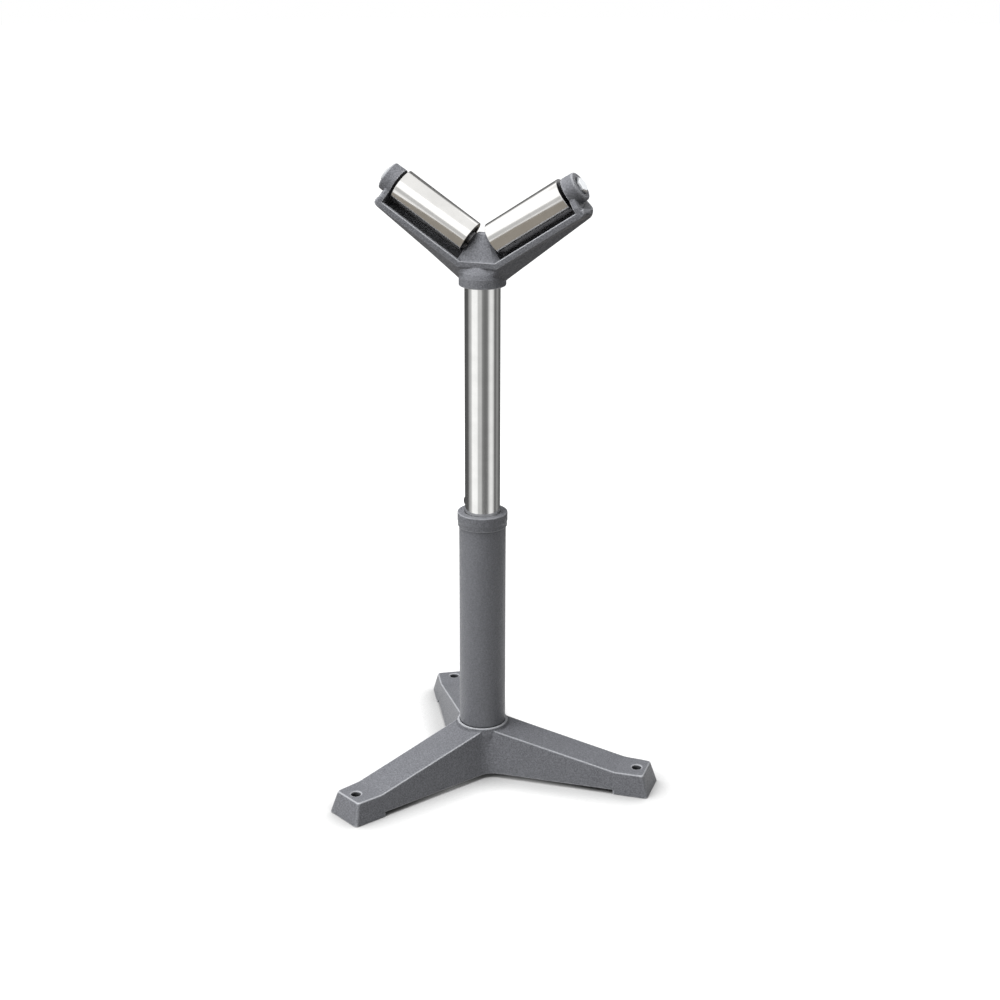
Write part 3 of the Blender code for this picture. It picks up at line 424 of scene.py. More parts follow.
def leg_peak():
    """The height at which the legs' sloping tops would meet on the column's axis."""
    foot_crease = LEG_REACH - LEG_END_DRAFT * FOOT_HEIGHT - FOOT_TOP_LENGTH
    return FOOT_HEIGHT + LEG_SLOPE * foot_crease


def roof(name, drop):
    """The space under the legs' sloping tops and the level feet, lowered by a drop."""
    peak = leg_peak()
    depth = 2 * CUT_MARGIN
    bm = bmesh.new()
    top = bm.verts.new((0, 0, peak - drop))
    base = [bm.verts.new(point) for point in triangle((peak + depth) / LEG_SLOPE, -depth - drop)]
    for i in range(3):
        bm.faces.new((base[i], base[(i + 1) % 3], top))
    bm.faces.new(base)
    slopes = finish_object(name, bm)
    low = -depth * ROOF_DEPTH - drop
    level = triangle_prism(name + "_level", LEG_REACH * ROOF_SPREAD, low, FOOT_HEIGHT - drop)
    combine(slopes, level, "UNION")
    return slopes


def outer_tube_radius():
    return INNER_TUBE_D / 2 + SLIDE_GAP + BUSH_WALL + SEAT_GAP + OUTER_TUBE_WALL


def boss_reach():
    return outer_tube_radius() + SEAT_GAP + COLLAR_WALL + COLLAR_BOSS_LENGTH


def clamp_insert_start():
    return boss_reach() + CLAMP_INSERT_GAP


def clamp_insert_end():
    return clamp_insert_start() + CLAMP_INSERT_LENGTH


def hub_radius():
    return outer_tube_radius() + SEAT_GAP + HUB_WALL


def hub_ring_top():
    return leg_peak() - LEG_SLOPE * hub_radius() + HUB_RING_HEIGHT


def build_base():
    tallest = leg_peak() + CUT_MARGIN
    body = star("casting_base", 0.0, tallest, 0.0, LEG_REACH)
    combine(body, roof("roof", 0.0), "INTERSECT")
    pad_start = LEG_REACH - FOOT_PAD_LENGTH
    combine(body, triangle_prism("underside", pad_start, -CUT_MARGIN, FOOT_PAD_STEP), "DIFFERENCE")
    core = star("core", -CUT_MARGIN, tallest, CASTING_WALL, pad_start - CASTING_WALL / 2)
    combine(core, roof("core_roof", CASTING_WALL), "INTERSECT")
    combine(body, core, "DIFFERENCE")
    top = hub_ring_top()
    hub_r = hub_radius()
    skirt_r = hub_r + HUB_WALL / 2
    corner_in, corner_down = HUB_RING_CORNER
    profile = [(0.0, FOOT_PAD_STEP), (skirt_r, FOOT_PAD_STEP)]
    profile += [(skirt_r, top - HUB_RING_HEIGHT * HUB_ROOT_DEPTH)]
    profile += [(hub_r + HUB_RING_ROUND / 2, top - HUB_RING_HEIGHT), (hub_r, top - HUB_RING_ROUND)]
    profile += [(hub_r - HUB_RING_ROUND * corner_in, top - HUB_RING_ROUND * corner_down)]
    profile += [(hub_r - HUB_RING_ROUND, top), (0.0, top)]
    combine(body, turned("hub", profile, SMALL), "UNION")
    for angle in LEG_ANGLES:
        hole = cutter("hole", FOOT_HOLE_D / 2, -CUT_MARGIN, FOOT_HEIGHT + CUT_MARGIN)
        reach = LEG_REACH - FOOT_HOLE_INSET
        moved(hole, Matrix.Translation((cosd(angle) * reach, sind(angle) * reach, 0)))
        combine(body, hole, "DIFFERENCE")
    bore_r = outer_tube_radius() + SEAT_GAP
    ledge_z = OUTER_TUBE_FOOT_Z - SEAT_GAP
    profile = [(0.0, -CUT_MARGIN), (bore_r - HUB_LEDGE, -CUT_MARGIN), (bore_r - HUB_LEDGE, ledge_z)]
    profile += [(bore_r, ledge_z), (bore_r, top + CUT_MARGIN), (0.0, top + CUT_MARGIN)]
    combine(body, turned("bore", profile, SMALL), "DIFFERENCE")
    return cast_skin(body, *BASE_SKIN)


# Column
def tube_top():
    return COLLAR_TOP_Z - COLLAR_LIP - SEAT_GAP


def build_outer_tube():
    return tube("column_outer", outer_tube_radius(), OUTER_TUBE_WALL, OUTER_TUBE_FOOT_Z, tube_top())


def clamp_matrix():
    """Turns a piece's own +Z into the direction that the clamp's screw points, with +X hanging down."""
    turn = Matrix.Rotation(math.radians(CLAMP_ANGLE), 4, "Z")
    return Matrix.Translation((0, 0, CLAMP_Z)) @ turn @ Matrix.Rotation(math.radians(90), 4, "Y")


def build_collar():
    seat_r = outer_tube_radius() + SEAT_GAP
    outer = seat_r + COLLAR_WALL
    mouth = INNER_TUBE_D / 2 + SEAT_GAP
    bottom = COLLAR_TOP_Z - COLLAR_HEIGHT
    top = COLLAR_TOP_Z
    waist = outer - COLLAR_EDGE / 2
    band_low, band_high = (bottom + COLLAR_HEIGHT * share for share in COLLAR_BAND)
    profile = [(seat_r, bottom), (waist - COLLAR_BREAK, bottom), (waist, bottom + COLLAR_BREAK)]
    profile += [(waist, band_low), (outer, band_high)]
    profile += [(outer, top - COLLAR_EDGE * (1 + share)) for share in COLLAR_RIM_STEPS]
    profile += arc(outer - COLLAR_EDGE, top - COLLAR_EDGE, COLLAR_EDGE, 0, 90)
    profile += [(mouth + COLLAR_EDGE, top), (mouth, top - COLLAR_EDGE)]
    profile += [(mouth, tube_top() + SEAT_GAP), (seat_r, tube_top() + SEAT_GAP)]
    body = turned("column_collar", profile, FINE)
    boss_r = COLLAR_BOSS_D / 2
    edge = COLLAR_BOSS_ROUND
    boss_profile = [(0.0, seat_r + COLLAR_WALL / 2), (boss_r, seat_r + COLLAR_WALL / 2)]
    boss_profile += arc(boss_r - edge, boss_reach() - edge, edge, 0, 90)
    boss_profile.append((0.0, boss_reach()))
    combine(body, moved(turned("boss", boss_profile, SMALL), clamp_matrix()), "UNION")
    drill = cutter("drill", CLAMP_THREAD_D / 2 + SEAT_GAP, INNER_TUBE_D / 2, boss_reach() + CUT_MARGIN)
    combine(body, moved(drill, clamp_matrix()), "DIFFERENCE")
    return cast_skin(body, *COLLAR_SKIN)


def build_inner_tube():
    top = HEAD_Z + SOCKET_DEPTH - SEAT_GAP
    return tube("column_inner", INNER_TUBE_D / 2, INNER_TUBE_WALL, INNER_TUBE_BOTTOM, top)


# Head
def socket_radius():
    return INNER_TUBE_D / 2 + SEAT_GAP + SOCKET_WALL


def roller_start():
    return WEB_FACE + WEB_CLEARANCE


def v_apex_z():
    return HEAD_Z + V_APEX_HEIGHT


def arm_point(side, along, across, y):
    x = along * cosd(V_TILT) - across * sind(V_TILT)
    z = v_apex_z() + along * sind(V_TILT) + across * cosd(V_TILT)
    return side * x, y, z


def arm_matrix(side):
    turn = Matrix.Rotation(math.radians(90 - V_TILT), 4, "Y")
    if side < 0:
        turn = Matrix.Rotation(math.pi, 4, "Z") @ turn
    return Matrix.Translation((0, 0, v_apex_z())) @ turn


def ear_inner():
    return roller_start() + ROLLER_LENGTH + EAR_CLEARANCE


def end_wall(across):
    return ear_inner() + EAR_THICKNESS + EAR_FLARE * (-EAR_FLARE_START - across)


def boss_end():
    return ear_inner() + EAR_THICKNESS + EAR_BOSS_HEIGHT


def knee_x(drop):
    return (drop - (v_apex_z() - YOKE_KNEE_Z) * cosd(V_TILT)) / sind(V_TILT)


def yoke_station(front, rear, band, crease, keel, width=YOKE_HALF_WIDTH):
    """One section of the yoke's body: the rims, the band below them, the crease and the keel."""
    half = [(width, band, 0.0), (width - RIM_CREASE, crease, 0.0)]
    half += [(KEEL_HALF_WIDTH, keel, KEEL_HALF_WIDTH * KEEL_LIFT), (KEEL_HALF_WIDTH * KEEL_FLAT, keel, 0.0)]
    left = [(x, -y, z + rise) for y, (x, z), rise in half]
    right = [(x, y, z + rise) for y, (x, z), rise in reversed(half)]
    return [(front[0], -width, front[1]), *left, *right, (rear[0], width, rear[1])]


def build_yoke_body():
    stations = []
    for side in (-1, 1):
        rear_drop = RIM_DROP - REAR_RIM_RISE
        lows = (RIM_DROP + RIM_BAND, RIM_DROP + RIM_BAND + RIM_CREASE, KEEL_END_DROP)
        ends = []
        for share in END_SHARES:
            curve = 1 - math.sqrt(1 - (1 - share) ** 2)
            drops = [RIM_DROP, rear_drop, *[low - END_ROUND * END_RISE * curve for low in lows]]
            points = [arm_point(side, end_wall(-d) - END_ROUND * share, -d, 0) for d in drops]
            width = YOKE_HALF_WIDTH - END_CORNER * curve
            ends.append(yoke_station(*[(x, z) for x, _, z in points], width))
        band_x = side * (knee_x(RIM_DROP) + RIM_BAND * math.tan(math.radians(V_TILT / 2)))
        knee = yoke_station(
            (side * knee_x(RIM_DROP), YOKE_KNEE_Z),
            (side * knee_x(rear_drop), YOKE_KNEE_Z),
            (band_x, YOKE_KNEE_Z - RIM_BAND),
            (band_x, YOKE_KNEE_Z - RIM_BAND - RIM_CREASE),
            (side * KEEL_ROOT_X, KEEL_ROOT_Z),
        )
        stations += [*ends, knee] if side < 0 else [knee, *reversed(ends)]
    return lofted("casting_yoke", stations)


def build_ear(side):
    """The end wall of an arm: round over the axle, and nearly as wide as the rim at its foot."""
    sweep = 180 + 2 * EAR_ARC_BELOW
    turns = [sweep * k / EAR_FACETS - EAR_ARC_BELOW for k in range(EAR_FACETS + 1)]
    outline = [(EAR_R * cosd(turn), EAR_R * sind(turn)) for turn in turns]
    half = YOKE_HALF_WIDTH - EAR_STEP
    rear_rim = REAR_RIM_RISE - RIM_DROP
    foot = -RIM_DROP - POCKET_DEPTH - EAR_STEP
    outline += [(-half, rear_rim), (-half, foot), (half, foot), (half, rear_rim)]
    rings = []
    for share, narrow in EAR_ROUNDING:
        along = ear_inner() + EAR_THICKNESS * share
        scale = 1 - narrow * END_CORNER / half
        rings.append([arm_point(side, along, across, y * scale) for y, across in outline])
    return lofted("ear", rings)


def build_ear_boss(side):
    start = ear_inner() + EAR_THICKNESS / 2
    end = boss_end()
    profile = [(0.0, start), (EAR_BOSS_R, start)]
    profile += arc(EAR_BOSS_R - EAR_BOSS_ROUND, end - EAR_BOSS_ROUND, EAR_BOSS_ROUND, 0, 90)
    profile.append((0.0, end))
    return moved(turned("ear_boss", profile, SMALL), arm_matrix(side))


def build_web():
    """The wedge between the rollers: its sides face the rollers' ends, its front and rear lean back."""
    base_z = YOKE_KNEE_Z - RIM_BAND / 2
    rings = []
    for z in (base_z, WEB_TOP_Z - WEB_TOP_EDGE, WEB_TOP_Z):
        share = (z - base_z) / (WEB_TOP_Z - base_z)
        side_x = (WEB_FACE - (z - v_apex_z()) * sind(V_TILT)) / cosd(V_TILT)
        front_x = WEB_FRONT_HALF_X + (WEB_TOP_HALF_X - WEB_FRONT_HALF_X) * share
        base_y = YOKE_HALF_WIDTH - YOKE_WALL / 4
        front_y = base_y + (WEB_TOP_HALF_Y - base_y) * share
        pad_y = WEB_PAD_HALF_Y + (WEB_TOP_HALF_Y * WEB_PAD_TOP - WEB_PAD_HALF_Y) * share
        if z == WEB_TOP_Z:
            side_x, pad_y, front_x, front_y = (v - WEB_TOP_EDGE for v in (side_x, pad_y, front_x, front_y))
        right = [(side_x, -pad_y), (side_x, pad_y), (front_x, front_y)]
        left = [(-x, -y) for x, y in right]
        rings.append([(x, y, z) for x, y in [*right, (-front_x, front_y), *left, (front_x, -front_y)]])
    return lofted("web", rings)


def build_pocket(side):
    """The hollow that a roller turns in, open upwards, with rounded corners along its floor."""
    half = YOKE_HALF_WIDTH - YOKE_WALL
    floor = -RIM_DROP - POCKET_DEPTH
    top = EAR_R + 2 * CUT_MARGIN
    bend = POCKET_CORNER
    turns = [90 * k / BEND_STEPS for k in range(1, BEND_STEPS + 1)]
    outline = [(-half, top), (half, top), (half, floor + bend)]
    outline += [(half - bend * (1 - cosd(a)), floor + bend * (1 - sind(a))) for a in turns]
    outline += [(-half + bend * (1 - cosd(a)), floor + bend * (1 - sind(a))) for a in reversed(turns)]
    outline.append((-half, floor + bend))
    start = WEB_FACE - EAR_STEP
    end = ear_inner() + EAR_STEP
    rings = [[arm_point(side, start, c, y) for y, c in outline]]
    for k in range(CORNER_STEPS + 1):
        turn = 90 * k / CORNER_STEPS
        scale = 1 - POCKET_END_ROUND * (1 - cosd(turn)) / half
        along = end - POCKET_END_ROUND * (1 - sind(turn))
        rings.append([arm_point(side, along, c, y * scale) for y, c in outline])
    return lofted("pocket", rings)


def set_screw_matrix():
    return Matrix.Translation((0, 0, SET_SCREW_Z)) @ Matrix.Rotation(math.radians(-90), 4, "X")


def build_apron(low, high):
    """The neck's flat-fronted upper part, which blends the round socket into the body under the crease."""
    rings = []
    for k in range(APRON_STEPS + 1):
        share = k / APRON_STEPS
        blend = share * share * (3 - 2 * share)
        half_x = socket_radius() - APRON_TAPER * share
        half_y = socket_radius() + (YOKE_HALF_WIDTH - RIM_CREASE - socket_radius()) * math.sqrt(share)
        power = 2 + (APRON_SQUARE - 2) * blend
        ring = []
        for i in range(SMALL):
            turn = 360 * i / SMALL
            x = math.copysign(abs(cosd(turn)) ** (2 / power), cosd(turn))
            y = math.copysign(abs(sind(turn)) ** (2 / power), sind(turn))
            ring.append((half_x * x, half_y * y, low - SEAT_GAP + (high - low) * share))
        rings.append(ring)
    return lofted("apron", rings)


def build_yoke():
    body = build_yoke_body()
    socket_top = HEAD_Z + SOCKET_HEIGHT
    crease_z = YOKE_KNEE_Z - RIM_BAND
    socket_r = socket_radius()
    neck_r = YOKE_HALF_WIDTH - NECK_INSET
    step = socket_r - neck_r
    rise = crease_z - socket_top
    profile = [(0.0, HEAD_Z), (socket_r - COLLAR_EDGE, HEAD_Z), (socket_r, HEAD_Z + COLLAR_EDGE)]
    profile += [(socket_r, socket_top)]
    profile += [(socket_r - step * NECK_START[0], socket_top + rise * NECK_START[1])]
    profile += [(neck_r + step * NECK_END[0], socket_top + rise * NECK_END[1])]
    profile += [(neck_r, crease_z + SEAT_GAP), (0.0, crease_z + SEAT_GAP)]
    combine(body, turned("socket", profile, SMALL), "UNION")
    combine(body, build_apron(socket_top, crease_z), "UNION")
    for side in (-1, 1):
        combine(body, build_pocket(side), "DIFFERENCE")
    for side in (-1, 1):
        combine(body, build_ear(side), "UNION")
        combine(body, build_ear_boss(side), "UNION")
    combine(body, build_web(), "UNION")
    seat = boss_end() - BOLT_RECESS_DEPTH
    for side in (-1, 1):
        hole = cutter("axle_hole", AXLE_HOLE_D / 2, AXLE_TIP - AXLE_TIP_GAP, boss_end())
        combine(body, moved(hole, arm_matrix(side)), "DIFFERENCE")
        recess = cutter("recess", BOLT_RECESS_D / 2, seat, boss_end() + CUT_MARGIN)
        combine(body, moved(recess, arm_matrix(side)), "DIFFERENCE")
    bore_r = INNER_TUBE_D / 2 + SEAT_GAP
    bore = cutter("bore", bore_r, HEAD_Z - CUT_MARGIN, HEAD_Z + SOCKET_DEPTH, SMALL)
    combine(body, bore, "DIFFERENCE")
    drill = cutter("drill", SET_SCREW_D / 2 + SEAT_GAP, 0.0, 2 * socket_radius())
    combine(body, moved(drill, set_screw_matrix()), "DIFFERENCE")
    return cast_skin(body, *YOKE_SKIN)


def build_roller(side_name):
    """The roller's tube, with material index 1 on everything but its barrel, for the dark steel that paints
    shade on its ends and bore.
    """
    outer = ROLLER_D / 2
    seat_r = BEARING_OUTER_D / 2 + SEAT_GAP
    seat = BEARING_RECESS + BEARING_WIDTH + SEAT_GAP
    low = roller_start()
    high = roller_start() + ROLLER_LENGTH
    edge = ROLLER_EDGE
    profile = [(seat_r, low), *arc(outer - edge, low + edge, edge, -90, 0)]
    profile += [*arc(outer - edge, high - edge, edge, 0, 90), (seat_r, high)]
    profile += [(seat_r, high - seat), (ROLLER_BORE_D / 2, high - seat)]
    profile += [(ROLLER_BORE_D / 2, low + seat), (seat_r, low + seat)]
    roller = turned(f"polished_roller_{side_name}", profile)
    for face in roller.data.polygons:
        barrel = math.hypot(face.center.x, face.center.y) > outer - edge * ROLLER_BARREL
        face.material_index = 0 if barrel else 1
    return roller


def build_bolt(side_name):
    """The axle bolt: a hexagon head with a turned chamfer, and a plain shank with material index 1, for the
    dark steel that paints shade on it.
    """
    head_start = boss_end() - BOLT_RECESS_DEPTH + 2 * SEAT_GAP + WASHER_THICKNESS
    top = head_start + BOLT_HEAD_HEIGHT
    corner_r = BOLT_HEAD_WIDTH / 2 / cosd(30)
    head = rod(f"hexagon_bolt_{side_name}", corner_r, head_start, top, 6)
    wide_r = corner_r + BOLT_CROWN_MARGIN
    low = head_start - BOLT_CROWN_MARGIN
    profile = [(0.0, low), (wide_r, low), (wide_r, top - BOLT_HEAD_CHAMFER * BOLT_CROWN_DEPTH)]
    profile += [(BOLT_HEAD_WIDTH / 2 * BOLT_CROWN_WIDTH, top), (0.0, top)]
    combine(head, turned("crown", profile, SMALL), "INTERSECT")
    shank = rod("shank", AXLE_D / 2, AXLE_TIP, head_start + BOLT_HEAD_HEIGHT / 2, SMALL)
    combine(head, shank, "UNION")
    bevel = head.modifiers.new("Edges", "BEVEL")
    bevel.width = BOLT_BEVEL
    bevel.segments = 2
    bevel.limit_method = "ANGLE"
    apply_modifiers(head)
    head.data.shade_smooth()
    head.data.set_sharp_from_angle(angle=math.radians(BOLT_SHARP_ANGLE))
    for face in head.data.polygons:
        face.material_index = 1 if face.center.z < head_start - SEAT_GAP else 0
    return head


def build_handle():
    """The lever: a round hub and an arm that hangs down and leans away from the column."""
    shoulder = clamp_insert_end() + SEAT_GAP
    spring_start = shoulder + HANDLE_SHOULDER
    hub_start = clamp_insert_start() - HANDLE_HUB_OVERLAP
    hub_end = spring_start + HANDLE_SPRING_LENGTH + RETAINER_HEAD_HEIGHT + HANDLE_HUB_OVERLAP
    hub_r = HANDLE_HUB_D / 2
    edge = HANDLE_HUB_ROUND
    profile = [(0.0, hub_start), (hub_r - edge, hub_start), (hub_r, hub_start + edge)]
    profile += [(hub_r, hub_end - edge), (hub_r - edge, hub_end), (0.0, hub_end)]
    body = turned("lever_handle", profile, SMALL)
    root = (hub_start + hub_end) / 2
    rings = []
    tip_start, tip_length = HANDLE_TIP
    for k in range(HANDLE_STATIONS):
        share = k / (HANDLE_STATIONS - 1)
        swell = HANDLE_END_WIDTH
        if share < HANDLE_END:
            swell = HANDLE_MIDDLE + HANDLE_SWELL * math.cos(math.tau * share)
        tip = max(0.0, (share - tip_start) / tip_length)
        scale = swell * math.sqrt(max(0.0, 1 - tip**2))
        ring = []
        for i in range(HANDLE_FACETS):
            turn = 360 * i / HANDLE_FACETS
            wide = HANDLE_WIDTH / 2 * scale * cosd(turn)
            thick = HANDLE_THICKNESS / 2 * scale * sind(turn)
            ring.append((HANDLE_LENGTH * share, wide, root + HANDLE_LEAN * share + thick))
        rings.append(ring)
    combine(body, lofted("arm", rings), "UNION")
    insert_r = CLAMP_INSERT_D / 2 + SEAT_GAP
    pin_r = RETAINER_D / 2 + SEAT_GAP
    pocket_r = RETAINER_HEAD_D / 2 + 2 * SEAT_GAP
    through = [(0.0, hub_start - CUT_MARGIN), (insert_r, hub_start - CUT_MARGIN), (insert_r, shoulder)]
    through += [(pin_r, shoulder), (pin_r, spring_start), (pocket_r, spring_start)]
    through += [(pocket_r, hub_end + CUT_MARGIN), (0.0, hub_end + CUT_MARGIN)]
    combine(body, turned("through", through, SMALL), "DIFFERENCE")
    return cast_skin(body, *HANDLE_SKIN)


def build_spring():
    """The compression spring round the handle's retaining screw."""
    start = clamp_insert_end() + SEAT_GAP + HANDLE_SHOULDER
    low = start + SEAT_GAP
    high = start + HANDLE_SPRING_LENGTH - SEAT_GAP
    wire_r = SPRING_WIRE_D / 2
    coil_r = (RETAINER_D / 2 + SEAT_GAP + RETAINER_HEAD_D / 2) / 2
    steps = int(SPRING_TURNS * SPRING_STEPS)
    rings = []
    for k in range(steps + 1):
        turn = 360 * SPRING_TURNS * k / steps
        outward = Vector((cosd(turn), sind(turn), 0))
        height = low + wire_r + (high - low - SPRING_WIRE_D) * k / steps
        centre = outward * coil_r + Vector((0, 0, height))
        ring = []
        for i in range(SPRING_FACETS):
            around = 360 * i / SPRING_FACETS
            upward = Vector((0, 0, wire_r * sind(around)))
            ring.append(centre + outward * (wire_r * cosd(around)) + upward)
        rings.append(ring)
    return lofted("return_spring", rings)


# Materials: the values that a noise is spread between, and the samples of each occlusion
NOISE_LOW = 0.3
NOISE_HIGH = 0.7
HIDDEN_SAMPLES = 8

# Paint: the sizes of its cloud, orange peel and grain, and the bumps' distances and strengths
CLOUD_SCALE = 45.0
CLOUD_DARK = 0.95
PEEL_SCALE = 430.0
PEEL_BUMP = (0.0009, 0.7)
GRAIN_SCALE = 520.0
GRAIN_ROUGH = 0.7
GRAIN_ENDS = (0.36, 0.64)
GRAIN_BUMP = (0.0006, 0.7)
PAINT_SPREAD = (0.07, 0.08)
PAINT_SPECULAR = 0.4

# How far the surface must bend before painted highlights brighten its edges or painted shade darkens its
# hollows, and how far painted shade reaches into recesses and under overhangs
EDGE_HIGHLIGHT_STOPS = [(0.510, (0.0,) * 3), (0.545, (0.42, 0.43, 0.45))]
HOLLOW_SHADE_STOPS = [(0.455, (0.40,) * 3), (0.492, (1.0,) * 3)]
RECESS_SHADE_STOPS = [(0.12, (0.05,) * 3), (0.60, (1.0,) * 3)]
RECESS_SHADE_REACH = 0.018
OVERHANG_SHADE_STOPS = [(0.50, (0.10,) * 3), (0.90, (1.0,) * 3)]
OVERHANG_SHADE_REACH = 0.008

# Metal and plastic
HAZE_SCALE = 60.0
HAZE_ENDS = (0.35, 0.65)
HAZE_DARK = 0.93
METAL_SPREAD = (0.8, 1.25)
METAL_BUMP = 0.0001
PLASTIC_LIGHT = (1.2, 0.004)
PLASTIC_SPREAD = 0.06
PLASTIC_BUMP = (0.0002, 0.4)


def new_material(name):
    material = bpy.data.materials.new(name)
    material.use_nodes = True
    nodes = material.node_tree.nodes
    return material, nodes, material.node_tree.links, nodes["Principled BSDF"]


def place_node(nodes):
    return nodes.new("ShaderNodeTexCoord").outputs["Object"]


def noise_node(nodes, links, vector, scale, detail=3.0, rough=0.55):
    node = nodes.new("ShaderNodeTexNoise")
    node.inputs["Scale"].default_value = scale
    node.inputs["Detail"].default_value = detail
    node.inputs["Roughness"].default_value = rough
    links.new(vector, node.inputs["Vector"])
    return node.outputs["Fac"]


def ramp_node(nodes, links, value, stops):
    node = nodes.new("ShaderNodeValToRGB")
    links.new(value, node.inputs["Fac"])
    ramp = node.color_ramp
    while len(ramp.elements) < len(stops):
        ramp.elements.new(0.5)
    for element, (place, colour) in zip(ramp.elements, stops):
        element.position = place
        element.color = (*colour, 1.0)
    return node.outputs["Color"]


def spread_node(nodes, links, value, dark, light, ends=(NOISE_LOW, NOISE_HIGH)):
    """Turns a noise into a colour between dark and light."""
    return ramp_node(nodes, links, value, [(ends[0], dark), (ends[1], light)])


def vary_roughness(nodes, links, value, low, high, shader):
    links.new(spread_node(nodes, links, value, (low,) * 3, (high,) * 3), shader.inputs["Roughness"])


def bump_node(nodes, links, heights, shader):
    """Chains bumps of (height, distance, strength), and hands the last to the shader."""
    normal = None
    for height, distance, strength in heights:
        node = nodes.new("ShaderNodeBump")
        node.inputs["Distance"].default_value = distance
        node.inputs["Strength"].default_value = strength
        links.new(height, node.inputs["Height"])
        if normal is not None:
            links.new(normal, node.inputs["Normal"])
        normal = node.outputs["Normal"]
    links.new(normal, shader.inputs["Normal"])


def mix_node(nodes, links, kind, first, second, share=None):
    """Mixes two colours by a kind of blend, wholly or by a share that another node gives."""
    node = nodes.new("ShaderNodeMix")
    node.data_type = "RGBA"
    node.blend_type = kind
    node.inputs["Factor"].default_value = 1.0
    if share is not None:
        links.new(share, node.inputs["Factor"])
    links.new(first, node.inputs["A"])
    links.new(second, node.inputs["B"])
    return node.outputs["Result"]


def math_node(nodes, links, operation, first, second):
    """Works on a node's value and on either another node's or a plain number."""
    node = nodes.new("ShaderNodeMath")
    node.operation = operation
    links.new(first, node.inputs[0])
    if isinstance(second, float):
        node.inputs[1].default_value = second
    else:
        links.new(second, node.inputs[1])
    return node.outputs[0]


def range_node(nodes, links, value, start, end, low=0.0, high=1.0, kind="LINEAR"):
    """Turns the values from start to end into those from low to high."""
    node = nodes.new("ShaderNodeMapRange")
    node.interpolation_type = kind
    node.inputs["From Min"].default_value = start
    node.inputs["From Max"].default_value = end
    node.inputs["To Min"].default_value = low
    node.inputs["To Max"].default_value = high
    links.new(value, node.inputs["Value"])
    return node.outputs["Result"]


def hidden_node(nodes, reach):
    node = nodes.new("ShaderNodeAmbientOcclusion")
    node.samples = HIDDEN_SAMPLES
    node.inputs["Distance"].default_value = reach
    return node


def paint_material(name, dark, light, roughness, painted_edges_and_hollows):
    """Textured enamel: speckled grain and orange peel; with painted edges and hollows it gets painted
    highlights on convex edges and painted shade in creases and recesses, else painted shade under
    overhanging parts.
    """
    material, nodes, links, shader = new_material(name)
    place = place_node(nodes)
    cloud = noise_node(nodes, links, place, CLOUD_SCALE, 2.0)
    peel = noise_node(nodes, links, place, PEEL_SCALE, 2.0)
    grain = noise_node(nodes, links, place, GRAIN_SCALE, 3.0, GRAIN_ROUGH)
    speckle = spread_node(nodes, links, grain, dark, light, GRAIN_ENDS)
    cloud = spread_node(nodes, links, cloud, (CLOUD_DARK,) * 3, (1.0,) * 3)
    colour = mix_node(nodes, links, "MULTIPLY", speckle, cloud)
    if painted_edges_and_hollows:
        # Painted highlight: convex edges are lightened in the colour, as if they caught the light
        bend = nodes.new("ShaderNodeNewGeometry").outputs["Pointiness"]
        edge = ramp_node(nodes, links, bend, EDGE_HIGHLIGHT_STOPS)
        colour = mix_node(nodes, links, "SCREEN", colour, edge)
        # Painted shade: concave creases and folds are darkened in the colour
        colour = mix_node(nodes, links, "MULTIPLY", colour, ramp_node(nodes, links, bend, HOLLOW_SHADE_STOPS))
    # Painted shade: the colour darkens where the surface is enclosed, in the casting's own holes and
    # recesses, or on the tube under the collar and inside the hub ring
    hidden = hidden_node(nodes, RECESS_SHADE_REACH if painted_edges_and_hollows else OVERHANG_SHADE_REACH)
    hidden.only_local = painted_edges_and_hollows
    painted_shade = ramp_node(nodes, links, hidden.outputs["AO"], RECESS_SHADE_STOPS if painted_edges_and_hollows else OVERHANG_SHADE_STOPS)
    colour = mix_node(nodes, links, "MULTIPLY", colour, painted_shade)
    links.new(colour, shader.inputs["Base Color"])
    vary_roughness(nodes, links, peel, roughness - PAINT_SPREAD[0], roughness + PAINT_SPREAD[1], shader)
    shader.inputs["Specular IOR Level"].default_value = PAINT_SPECULAR
    bump_node(nodes, links, [(peel, *PEEL_BUMP), (grain, *GRAIN_BUMP)], shader)
    return material


def metal_material(name, colour, roughness, stretch, scale, strength):
    """Bright metal with fine machining lines; stretch squeezes the noise so that the lines run one way."""
    material, nodes, links, shader = new_material(name)
    place = place_node(nodes)
    mapping = nodes.new("ShaderNodeMapping")
    mapping.inputs["Scale"].default_value = stretch
    links.new(place, mapping.inputs["Vector"])
    lines = noise_node(nodes, links, mapping.outputs["Vector"], scale, 3.0)
    haze = noise_node(nodes, links, place, HAZE_SCALE, 3.0)
    dark = tuple(c * HAZE_DARK for c in colour)
    links.new(spread_node(nodes, links, haze, dark, colour, HAZE_ENDS), shader.inputs["Base Color"])
    vary_roughness(nodes, links, lines, roughness * METAL_SPREAD[0], roughness * METAL_SPREAD[1], shader)
    shader.inputs["Metallic"].default_value = 1.0
    bump_node(nodes, links, [(lines, METAL_BUMP, strength)], shader)
    return material


def plastic_material(name, colour, roughness, scale):
    material, nodes, links, shader = new_material(name)
    place = place_node(nodes)
    grain = noise_node(nodes, links, place, scale, 2.0)
    gain, lift = PLASTIC_LIGHT
    light = tuple(min(1.0, c * gain + lift) for c in colour)
    links.new(spread_node(nodes, links, grain, colour, light), shader.inputs["Base Color"])
    vary_roughness(nodes, links, grain, roughness - PLASTIC_SPREAD, roughness + PLASTIC_SPREAD, shader)
    bump_node(nodes, links, [(grain, *PLASTIC_BUMP)], shader)
    return material


